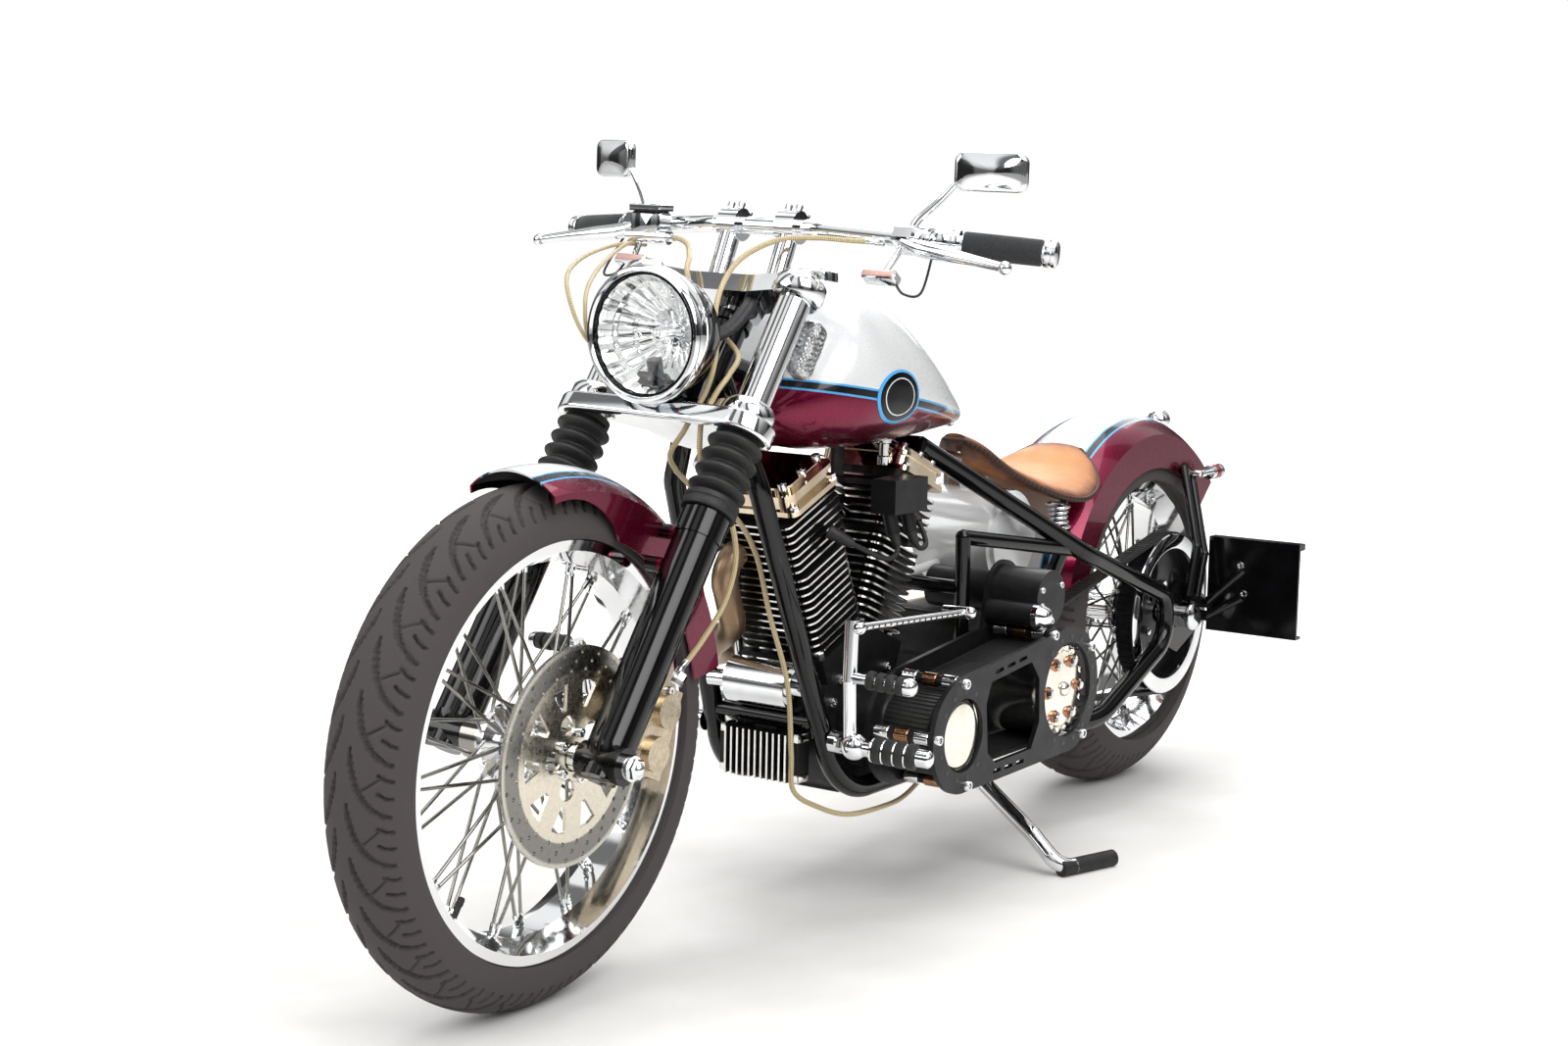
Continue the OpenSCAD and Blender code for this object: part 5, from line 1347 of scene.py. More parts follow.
@dataclass
class FuelTank:
    """Smooth tank with its paint bands, plain oval plates, cap and tap."""

    half: float = 162.0
    rings: Array = field(default_factory=lambda: table(
        (1190, 0.28, 752, 766, 780), (1172, 0.50, 733, 774, 800), (1137, 0.76, 714, 786, 846),
        (1100, 0.90, 706, 790, 896), (1060, 0.98, 701, 788, 936), (1000, 1.0, 699, 782, 952),
        (920, 0.95, 700, 772, 926), (820, 0.80, 703, 760, 866), (720, 0.57, 707, 745, 800),
        (640, 0.34, 710, 731, 754), (604, 0.16, 714, 724, 733)))
    roundel: tuple[float, float, float, float] = (994.0, 784.0, 60.0, 40.0)

    def stripe_z(self, x: Array) -> Array:
        """Height of the band along the tank."""
        return 780 + 0.161 * (x - 994)

    def flank(self, x: Array, z: Array) -> Array:
        """Half width of the tank at a point of its side.

        It turns the ring's curve round: the height gives the sine, and that the cosine.

        Args:
            x: places along the tank.
            z: heights.

        Returns:
            Half widths.
        """
        fine = spline(self.rings, 12)[::-1]
        share, low, wide, high = (np.interp(x, fine[:, 0], fine[:, k]) for k in range(1, 5))
        up = np.where(z > wide, high - wide, wide - low)
        s = np.clip(np.abs(z - wide) / up, 0, 0.999) ** (1 / 0.86)
        return self.half * share * np.sqrt(1 - s * s) ** 0.86

    def shell(self) -> None:
        """Tank skin: superellipse rings along X, hollowed below for the backbone."""
        rows = spline(self.rings, 9)
        tip = np.vstack([rows[:1] * [1, 0, 1, 1, 1] + [1.5, 0, 12, 0, -12], rows,
                         rows[-1:] * [1, 0, 1, 1, 1] + [-1, 0, 6, 0, -6]])
        x, share, low, wide, high = (tip[:, k : k + 1] for k in range(5))
        a = np.arange(144)[None, :] * TURN / 144
        c, s = np.cos(a), np.sin(a)
        y = self.half * share * np.sign(c) * np.abs(c) ** 0.86
        z = wide + np.where(s > 0, high - wide, wide - low) * np.sign(s) * np.abs(s) ** 0.86
        roof = np.interp(x, [560, 700, 1190], [712, 716, 868]) + 0 * a
        z = np.where((s < 0) & (np.abs(y) < 27), np.minimum(np.maximum(z, roof), high - 6), z)
        tone = z - self.stripe_z(x)
        points = np.stack([x + 0 * a, y, z], -1)
        stops = (-100, CANDY), (-8, BLUE), (-5, BLACK_BAND), (5, BLUE), (8, PEARL)
        paint = BandedPaint("tank_candy_and_pearl", CANDY, PEARL, 0.0, (0.26, 0.34), 1.5, coat=0.5,
                            shine=0.25, reach_mm=100, stops=stops)
        skin = Shape(Space.BIKE).grid(points, False, True, tone)
        obj = skin.piece("tank_shell", Body.FRAME, paint, "two_tone_paint", 60)
        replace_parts(obj, "fuel_tank")

    def emblems(self) -> None:
        """Plain oval plates on both flanks, ringed in blue, laid on the tank's curve."""
        x0, z0, wide, high = self.roundel
        rho = np.array([0, 0.3, 0.63, 0.66, 0.7, 0.73, 0.87, 0.905, 0.96, 1.0, 1.0])[None, :]
        lift = np.array([1.6, 1.6, 1.6, 1.6, 1.6, 1.6, 1.6, 1.6, 1.4, 1.0, -1.0])[None, :]
        a = np.arange(72)[:, None] * TURN / 72
        x, z = x0 + wide * rho * np.cos(a), z0 + high * rho * np.sin(a)
        y = self.flank(x, z) + lift
        stops = (0.0, BLACK_BAND), (0.66, "D9DAD8"), (0.7, BLACK_BAND), (0.9, BLUE)
        plate = ToneFinish("emblem_enamel", BLACK_BAND, "17181B", 0.0, (0.12, 0.2), 20, shine=0.25,
                           blend=Blend.STEPPED, stops=stops)
        shape = Shape(Space.BIKE)
        for side in (1, -1):
            shape.grid(np.stack([x, side * y, z], -1), True, False, rho + 0 * a)
        shape.piece("tank_emblems", Body.FRAME, plate, "two_tone_paint")

    def fittings(self) -> None:
        """Filler cap, fuel tap and mounting bolts."""
        cap = table((0, 14), (14, 14), (28, 11), (33, 7), (34, 0), (34, -14), (0, -14))
        tap = table((0, 0), (12, 0), (12, 14), (8, 16), (8, 34), (11, 36), (11, 48), (0, 48))
        shape = Shape(Space.BIKE).copies(turned(cap, 48), table((985, 0, 955)), table((-0.1, 0, 1)))
        shape.copies(turned(tap, 20), table((850, 44, 712)), table((0, 0, -1)))
        shape.heads(DOME_HEAD, 20, table((622, 24, 716), (622, -24, 716)), OUTWARDS, 9, 8)
        shape.piece("tank_fittings", Body.FRAME, CHROME, "chrome")

    def build(self) -> None:
        """Makes all pieces of the tank."""
        self.shell()
        self.emblems()
        self.fittings()


@dataclass
class Saddle:
    """Leather solo seat with its laced edge and its coil springs."""

    rings: Array = field(default_factory=lambda: table(
        (562, 22, 672, 18, 2), (530, 46, 648, 30, 6), (470, 72, 612, 30, 12), (400, 112, 588, 30, 22),
        (340, 132, 578, 30, 22), (280, 124, 592, 28, 20), (235, 92, 616, 22, 14), (205, 50, 637, 12, 4)))
    spring: Point = (385.0, 104.0, 520.0)
    spring_h: float = 49.5

    def build(self) -> None:
        """Makes the cover, the lace and the springs."""
        rows = spline(self.rings, 12)
        keep = [1, 0, 1, 0, 0]
        ends = np.vstack([rows[:1] * keep + [2, 0, 8, 0, 0], rows, rows[-1:] * keep + [-6, 0, 8, 0, 0]])
        x, half, low, thick, droop = (ends[:, k : k + 1] for k in range(5))
        a = np.arange(96)[None, :] * TURN / 96
        c = np.sign(np.cos(a)) * np.abs(np.cos(a)) ** 0.7
        s = np.sign(np.sin(a)) * np.abs(np.sin(a)) ** 0.7
        dish = 4 * np.exp(-(((x - 330) / 80) ** 2)) * (1 - c * c) * (s > 0)
        z = low + thick * (s + 1) / 2 - droop * c * c - dish
        along = np.clip(np.maximum((240 - x) / 36, (x - 500) / 60), 0, 1)
        tone = np.maximum(np.abs(c) ** 3 * 0.9, 0.85 * along)
        tone = tone * np.where(s < 0, 0.5, 1) + np.where(s < 0, 0.5, 0)
        cover = Shape(Space.BIKE).grid(np.stack([x + 0 * a, half * c, z], -1), False, True, tone).piece(
            "saddle_cover", Body.FRAME, LEATHER, "tan_leather", 70)
        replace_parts(cover, "seat")
        left = np.stack([rows[:, 0], rows[:, 1] - 1, rows[:, 2] + rows[:, 3] / 2 - rows[:, 4]], -1)
        right = left[::-1] * np.array([1, -1, 1])
        edge = Shape(Space.BIKE).tube(np.vstack([left, right]), 4.6, 12, True)
        edge.piece("saddle_lace", Body.FRAME, LACE, "tan_leather")
        self.springs()

    def springs(self) -> None:
        """Hourglass coils: a circle carried along a helix whose radius grows to both ends."""
        t = np.linspace(0, 1, 241)
        r = 14 + 7 * (2 * t - 1) ** 2
        turn = TURN * 5 * t
        shape = Shape(Space.BIKE)
        for side in (1, -1):
            base = np.array(self.spring) * np.array([1, side, 1])
            coil = np.stack([r * np.cos(turn), side * r * np.sin(turn), 3.4 + t * (self.spring_h - 6.8)], -1)
            shape.tube(base + coil, 3.1, 10)
        shape.tube(table((719.3, 0, 679), (630, 0, 663.6), (548, 0, 649.4)), 8, 20)
        shape.tube(table((552, 0, 647), (552, 0, 653), (552, 0, 659.4)), 6, 16)
        obj = shape.piece("saddle_springs", Body.FRAME, CHROME, "chrome")
        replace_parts(obj, "seat_springs")


@dataclass
class Engine:
    """Machined fin edges, bolts, plugs and leads of the engine."""

    deck: float = 140.0
    barrel_top: float = 290.0
    head_top: float = 385.0
    fin_half: float = 74.0
    fin_t: float = 2.6
    barrel_fins: int = 11
    head_fins: int = 7

    def fin_edges(self, space: Space) -> None:
        """Bright bands round the fins, cut back where the cylinders meet.

        Args:
            space: the cylinder that they belong to.
        """
        barrel_pitch = (self.barrel_top - self.deck - 14) / self.barrel_fins
        head_pitch = (self.head_top - self.barrel_top - 10) / self.head_fins
        rows = [(self.deck + 12 + barrel_pitch * i, self.fin_half - 6, 22) for i in range(self.barrel_fins)]
        rows += [(self.barrel_top + 4 + head_pitch * i, self.fin_half - 2, 14) for i in range(self.head_fins)]
        inward = -1 if space is Space.FRONT_CYLINDER else 1
        half_vee = math.radians(STANCE.half_vee)
        shape = Shape(space)
        for z0, x_half, corner in rows:
            ring = rounded_outline(x_half, self.fin_half, corner)
            wall = (z0 * math.sin(half_vee) - 0.5) / math.cos(half_vee)
            out = unit(ring)
            reach = table((-1.2, -0.15), (0.35, -0.15), (0.35, self.fin_t + 0.15), (-1.2, self.fin_t + 0.15))
            xy = ring[:, None, :] + out[:, None, :] * reach[None, :, :1]
            x = np.minimum(xy[..., 0] * inward, wall) * inward
            points = np.stack([x, xy[..., 1], z0 + reach[None, :, 1] + 0 * x], -1)
            shape.grid(points, True, True)
        name = "front" if space is Space.FRONT_CYLINDER else "rear"
        shape.piece(name + "_fin_edges", Body.FRAME, POLISHED, "polished_alloy")

    def bolts(self) -> None:
        """Rocker box, case and cam cover bolts."""
        shape = Shape(Space.BIKE)
        for space in (Space.FRONT_CYLINDER, Space.REAR_CYLINDER):
            local = Shape(space)
            spots = np.vstack([corners(46, 62, 426), table((0, 66, 426), (0, -66, 426))])
            local.heads(CAP_HEAD, 16, spots, UP, 7, 6)
            local.heads(HEX_HEAD, 6, corners(52, 80, 393.5), UP, 6.5, 5)
            local.heads(HEX_HEAD, 6, corners(44, 58, 143), UP, 8, 7)
            name = "front" if space is Space.FRONT_CYLINDER else "rear"
            local.piece(name + "_head_bolts", Body.FRAME, CHROME, "chrome")
        a = np.arange(7) * TURN / 7 + 0.3
        shape.heads(CAP_HEAD, 16, np.stack([945 + 66 * np.cos(a), 0 * a - 118, 300 + 66 * np.sin(a)], -1),
                    table((0, -1, 0)), 5.5, 4)
        case = table((1008, 75, 352), (1038, 75, 250), (880, 75, 352), (1030, 75, 320))
        shape.heads(CAP_HEAD, 16, case, LEFT, 8, 7)
        shape.heads(CAP_HEAD, 16, table((1040, -30, 318), (1040, 30, 318), (1066, -30, 318), (1066, 30, 318)),
                    UP, 5.5, 4)
        shape.piece("case_bolts", Body.FRAME, CHROME, "chrome")

    def leads(self) -> None:
        """Plug leads from the coil to the heads, with rubber boots."""
        shape = Shape(Space.BIKE)
        front = table((934, 118, 570), (938, 128, 545), (975, 132, 538), (1030, 118, 560), (1058, 82, 584))
        rear = table((886, 118, 570), (880, 130, 545), (856, 128, 548), (838, 106, 572), (832, 82, 590))
        for route in (front, rear):
            path = spline(route, 10)
            shape.tube(path, 4.2, 12)
            shape.tube(path[-9:], np.linspace(7.5, 11.5, 9), 18)
            shape.tube(path[:8], np.linspace(9, 6.5, 8), 18)
        shape.piece("plug_leads", Body.FRAME, RUBBER, "black_rubber")

    def cooler(self) -> None:
        """Bright front edges of the cooler's fins and its end brackets."""
        shape = Shape(Space.BIKE)
        bar, faces = rounded_box(1.0, 1.7, 36.4)
        for i in range(-5, 6):
            shape.add(bar + np.array([1120.2, i * 11.0, 245]), faces)
        end, end_faces = rounded_box(15, 5.6, 7)
        for side in (67, -67):
            for z in (-30, 30):
                shape.add(end + np.array([1096, side, 245 + z]), end_faces)
        shape.piece("cooler_edges", Body.FRAME, POLISHED, "polished_alloy")

    def build(self) -> None:
        """Makes all small parts of the engine."""
        self.cooler()
        self.fin_edges(Space.FRONT_CYLINDER)
        self.fin_edges(Space.REAR_CYLINDER)
        self.bolts()
        self.leads()


@dataclass
class Drive:
    """Belt ribs, clutch plate, spacers and bolts of the open drive."""

    crank: Span = (945.0, 280.0)
    clutch: Span = (620.0, 299.0)
    crank_r: float = 64.0
    clutch_r: float = 84.0
    guard_y: float = 258.0
    posts: Array = field(default_factory=lambda: table(
        (945, 280, 79, 5), (945, 280, 79, 88), (945, 280, 79, 262), (620, 299, 94, 238), (620, 299, 94, 140),
        (620, 299, 110.7, 60.2)))

    def loop(self, a: Span, ra: float, b: Span, rb: float, count: int) -> tuple[Array, Array]:
        """Even places on a belt round two pulleys, and their outward directions.

        The belt is two arcs joined by the common tangents.

        Args:
            a: centre of the first pulley as x and z.
            ra: its radius.
            b: centre of the second pulley.
            rb: its radius.
            count: number of places.

        Returns:
            Places and directions as x and z.
        """
        pa, pb = np.array(a), np.array(b)
        d = pb - pa
        heading = math.atan2(d[1], d[0])
        k = math.acos((ra - rb) / np.linalg.norm(d))
        first = np.linspace(heading + k, heading - k + TURN, 200)
        second = np.linspace(heading - k, heading + k, 200)
        angle = np.concatenate([first, second])
        out = np.stack([np.cos(angle), np.sin(angle)], -1)
        line = np.vstack([pa + ra * out[:200], pb + rb * out[200:]])
        line, out = np.vstack([line, line[:1]]), np.vstack([out, out[:1]])
        far = np.concatenate([[0], np.cumsum(np.linalg.norm(np.diff(line, axis=0), axis=1))])
        s = np.arange(count) * far[-1] / count
        even = np.stack([np.interp(s, far, column) for column in np.hstack([line, out]).T], -1)
        return even[:, :2], unit(even[:, 2:])

    def ribs(self, name: str, places: tuple[Array, Array], y: Span, size: Span) -> None:
        """Cross ribs on a belt: short bars set square to it.

        Args:
            name: the piece's name.
            places: places on the belt and their outward directions.
            y: both edges of the belt.
            size: half width and half height of a rib.
        """
        at, out = places
        middle = sum(y) / 2
        bar = rounded_box(size[0], (y[1] - y[0]) / 2, size[1])
        spots = np.stack([at[:, 0], np.full(len(at), middle), at[:, 1]], -1)
        normal = np.stack([out[:, 0], 0 * out[:, 0], out[:, 1]], -1)
        side = np.stack([-out[:, 1], 0 * out[:, 0], out[:, 0]], -1)
        turns = np.stack([side, np.broadcast_to([0.0, 1.0, 0.0], side.shape), normal], -1)
        Shape(Space.BIKE).add(*repeat(bar, spots, turns)).piece(name, Body.FRAME, RUBBER, "black_rubber")

    def spacers(self) -> None:
        """Collars on the guard's posts, chrome and bronze in turn, and the bolts in the guard."""
        cx, cz, r, turn = self.posts.T
        x, z = cx + r * np.cos(np.radians(turn)), cz + r * np.sin(np.radians(turn))
        collar = table((8.2, -12), (9.6, -12), (10.4, -11), (10.4, 11), (9.6, 12), (8.2, 12))
        for name, finish, slot, rows in (("spacers_chrome", CHROME, "chrome", (165, 235)),
                                         ("spacers_bronze", BRONZE, "heat_tinted_steel", (200,))):
            shape = Shape(Space.BIKE)
            for y in rows:
                shape.copies(turned(collar, 24), np.stack([x, 0 * x + y, z], -1), LEFT)
            if slot == "chrome":
                shape.heads(CAP_HEAD, 16, np.stack([x, 0 * x + self.guard_y, z], -1), LEFT, 8, 7)
            shape.piece(name, Body.FRAME, finish, slot)

    def clutch_plate(self) -> None:
        """Notched pressure plate with its studs, and the front pulley's cover."""
        a = np.arange(18) * TURN / 18
        (x, z), (crank_x, crank_z) = self.clutch, self.crank
        shape = Shape(Space.BIKE)
        dome = table((0, 6), (30, 6), (44, 4), (60, 3), (62, 0), (62, -4), (0, -4))
        shape.copies(turned(dome, 96), table((x, 244, z)), LEFT)
        cover = table((0, 3), (46, 3), (50, 2), (53, -1), (53, -4), (0, -4))
        shape.copies(turned(cover, 96), table((crank_x, 250, crank_z)), LEFT)
        ring = table((55.5, -3), (62, -3), (64, -1), (64, 2), (62, 3), (55.5, 3))
        shape.copies(turned(ring, 96), table((crank_x, 242, crank_z)), LEFT)
        dogs = table((0, -5), (6, -5), (6, 4), (4.5, 5.5), (0, 5.5))
        teeth = np.stack([x + 66 * np.cos(a), 0 * a + 243, z + 66 * np.sin(a)], -1)
        shape.copies(turned(dogs, 8), teeth, LEFT)
        shape.heads(DOME_HEAD, 20, table((x, 250, z)), LEFT, 12, 9)
        # its cream tint is a painted warm reflection
        shape.piece("clutch_plate", Body.FRAME, WARM_PLATE, "polished_alloy")
        b = np.arange(6) * TURN / 6
        studs = np.stack([x + 48 * np.cos(b), 0 * b + 254, z - 48 * np.sin(b)], -1)
        washers = table((0, -10), (10.5, -10), (10.5, -5), (9, -4), (8.5, 0), (0, 0))
        Shape(Space.BIKE).copies(turned(washers, 24), studs, LEFT).piece(
            "clutch_washers", Body.FRAME, COPPER, "heat_tinted_steel")
        Shape(Space.BIKE).heads(HEX_HEAD, 6, studs, LEFT, 7, 4).piece(
            "clutch_bolts", Body.FRAME, CHROME, "chrome")

    def guard_hole_shade(self) -> None:
        """Black discs at the lightening holes round the guard's two rings, painted shade for the dark inside
        of each hole.
        """
        shade_disc = table((0, -1), (4.2, -1), (4.2, 0.25), (0, 0.25))
        rows = []
        for (x, z), r, count, phase in ((self.crank, 67.0, 13, 0.15), (self.clutch, 86.0, 16, 0.1)):
            a = np.arange(count) * TURN / count + phase
            ring = np.stack([x + r * np.cos(a), np.full(count, self.guard_y), z + r * np.sin(a)], -1)
            inward = -1 if x > 800 else 1
            rows.append(ring[(ring[:, 0] - x) * inward < 0.72 * r])
        # painted shade: gloss black discs where the holes' insides lie in shade
        Shape(Space.BIKE).copies(turned(shade_disc, 16), np.vstack(rows), LEFT).piece(
            "guard_hole_shade", Body.FRAME, GLOSS_BLACK, "black_paint")

    def starter_cap(self) -> None:
        """Bright solenoid end beside the starter housing."""
        shape = Shape(Space.BIKE)
        cap = table((0, 20), (8, 20), (14, 16), (17, 8), (21, 4), (21, -6), (0, -6))
        shape.copies(turned(cap, 32), table((682, 236, 424)), LEFT)
        ring = np.arange(3) * TURN / 3 + 0.5
        spots = np.stack([638 + 36 * np.cos(ring), 0 * ring + 232, 446 + 36 * np.sin(ring)], -1)
        shape.heads(CAP_HEAD, 16, spots, LEFT, 5, 4)
        shape.piece("solenoid_end", Body.FRAME, CHROME, "chrome")

    def build(self) -> None:
        """Makes all small parts of the drive."""
        primary = self.loop(self.crank, self.crank_r, self.clutch, self.clutch_r, 150)
        self.ribs("primary_belt_ribs", primary, (156, 231), (2.2, 1.5))
        final = self.loop((0, 328.12), 150, self.clutch, 52, 170)
        self.ribs("final_belt_ribs", final, (104, 131), (4.0, 1.2))
        self.spacers()
        self.clutch_plate()
        self.guard_hole_shade()
        self.starter_cap()


@dataclass
class Controls:
    """Peg rubbers, painted shade in the shift rod holes, and bolts of the forward controls, in the upright
    frame.
    """

    peg_in: Point = (1226.0, 246.0, 312.0)
    peg_out: Point = (1206.0, 356.0, 306.0)

    def build(self) -> None:
        """Makes rubber rings on the pegs, their ends, and black discs that paint the shade in the rod's
        holes.
        """
        rubber = Shape(Space.BIKE)
        chrome = Shape(Space.BIKE)
        ring = table((12.2, -6.2), (16.6, -6.2), (18.6, -4), (18.6, 4), (16.6, 6.2), (12.2, 6.2))
        small = table((8.1, -5.5), (12, -5.5), (13.6, -3.5), (13.6, 3.5), (12, 5.5), (8.1, 5.5))
        start, end = np.array(self.peg_in), np.array(self.peg_out)
        share = (0.33 + 0.15 * np.arange(4))[:, None]
        gaps = (0.255 + 0.15 * np.arange(4))[:, None]
        toes = {1: table((1230, 238, 411), (1216, 330, 405)), -1: table((1248, 230, 400), (1240, 330, 396))}
        for side in (1, -1):
            flip = np.array([1, side, 1])
            rubber.copies(turned(ring, 40), (start + (end - start) * share) * flip, (end - start) * flip)
            parting = table((11, -1.5), (16.6, -1.5), (17.4, 0), (16.6, 1.5), (11, 1.5))
            chrome.copies(turned(parting, 40), (start + (end - start) * gaps) * flip, (end - start) * flip)
            toe_in, toe_out = toes[side]
            spots = toe_in + (toe_out - toe_in) * (0.36 + 0.16 * np.arange(4))[:, None]
            rubber.copies(turned(small, 32), spots * flip, (toe_out - toe_in) * flip)
            tip = table((0, 6.5), (6, 5.6), (10.4, 3), (12.4, 0), (12.4, -3), (0, -3))
            chrome.copies(turned(tip, 32), end * flip, (end - start) * flip)
            knob = table((0, 9), (6, 8), (11, 5), (13, 0), (13, -8), (8, -9), (0, -9))
            chrome.copies(turned(knob, 32), toe_out * flip, (toe_out - toe_in) * flip)
            nuts = table((1086, side * 143, 276), (1226, side * 226, 312))
            chrome.heads(HEX_HEAD, 6, nuts, table((0, side, 0)), 9, 6)
        rubber.piece("peg_rubbers", Body.FRAME, RUBBER, "black_rubber")
        rod = np.array([1226.0, 236, 478]) + np.array([-364.0, -31, -28]) * np.linspace(0.1, 0.9, 17)[:, None]
        chrome.heads(DOME_HEAD, 20, table((1224, 250, 480), (862, 216, 450)), LEFT, 9, 7)
        chrome.piece("control_bolts", Body.FRAME, CHROME, "chrome")
        # painted shade: satin black discs on the rod for the dark inside of its holes
        shade_disc = table((0, -1), (2.6, -1), (2.6, 0.3), (0, 0.3))
        Shape(Space.BIKE).copies(turned(shade_disc, 12), rod + np.array([0.5, 5.9, 0]), table((0.1, 1, 0))).piece(
            "shift_rod_hole_shade", Body.FRAME, SATIN_BLACK, "black_paint")


@dataclass
class RearEnd:
    """Lamp lenses, plate holder screws and strut details."""

    def build(self) -> None:
        """Makes the small parts at the back."""
        chrome = Shape(Space.BIKE)
        chrome.heads(CAP_HEAD, 16, table((-84, 239, 419), (-84, 247, 367), (-79, 239, 419), (-79, 247, 367)),
                     table((-1, 0, 0), (-1, 0, 0), (1, 0, 0), (1, 0, 0)), 7, 5)
        strut_top = np.array([-134, 106.3, 572])
        lens = Shape(Space.BIKE)
        for side in (1, -1):
            at = (strut_top + np.array([-72, 22, 4])) * np.array([1, side, 1])
            cap = table((0, 7), (8, 6), (12, 3), (13.6, 0), (13.6, -9), (13.2, -9))
            chrome.copies(turned(cap, 32), at, table((-1, 0, 0)))
            band = table((13.1, -8), (13.9, -7), (13.9, 7), (13.1, 8))
            lens.copies(turned(band, 32), at + np.array([22, 0, 0]), table((1, 0, 0)))
        chrome.piece("rear_fittings", Body.FRAME, CHROME, "chrome")
        ball = table((0, 22.6), (5, 22.1), (10, 20.2), (14, 17.6), (15.5, 15.9), (15.2, 15.4))
        lens.copies(turned(ball, 40), table((-204, 0, 664)), table((-1, 0, 0)))
        toe = table((702, 300, 28.7), (676, 309.2, 29.2), (638, 322.6, 29.9), (600, 336, 30.6),
                    (596, 337.4, 30.7))
        Shape(Space.BIKE).tube(toe, 13.25, 32).piece("stand_toe", Body.STAND, RUBBER, "black_rubber")
        lens.piece("rear_lenses", Body.FRAME, RED_LENS, "signal_lens")


@dataclass
class FenderShade:
    """Black skin under one fender, painted shade for the fender's underside.

    The inner outline is an arc across the crown with straight skirts, carried round the axle.
    """

    name: str
    space: Space
    body: Body
    inner_r: float
    half: float
    skirt: float
    turn: Span
    bite: Point | None = None

    def struts(self) -> None:
        """Black sleeves over the front fender's mounts on the fork legs."""
        shape = Shape(Space.FORK)
        for side in (1, -1):
            for s in (285, 335):
                shape.tube(table(*((LEG_X, side * y, s) for y in (70.5, 79, 88.5))), 10.5, 32)
        shape.piece("fender_mounts", self.body, GLOSS_BLACK, "black_paint")

    def build(self) -> None:
        """Makes the painted-shade skin a little inside the fender, kept clear of the cut front corner."""
        crown = 1.5 * self.half
        y = np.linspace(-self.half + 0.7, self.half - 0.7, 41)
        top = self.inner_r - crown + np.sqrt(crown**2 - y**2) - 0.7
        low = self.inner_r - self.skirt + 1
        r = np.concatenate([[low], top, [low]])[None, :]
        side = np.concatenate([y[:1], y, y[-1:]])[None, :]
        drop = np.linspace(0, 1, 60)[:, None]
        a = np.radians(self.turn[0] + (self.turn[1] - self.turn[0]) * drop)
        if self.bite:
            angle, reach, radius = self.bite
            off = a - math.radians(angle)
            wall = reach * np.cos(off) + np.sqrt(np.clip(radius**2 - (reach * np.sin(off)) ** 2, 0, None))
            inside = np.abs(reach * np.sin(off)) < radius
            r = np.maximum(r, np.where(inside & (wall > low), np.minimum(wall + 1, top[0]), low))
        points = np.stack([r * np.cos(a), side + 0 * a, r * np.sin(a)], -1)
        # painted shade: a satin black sheet where the fender's underside lies in shade
        Shape(self.space).grid(points).piece(self.name, self.body, SATIN_BLACK, "black_paint")
        if self.bite:
            self.struts()


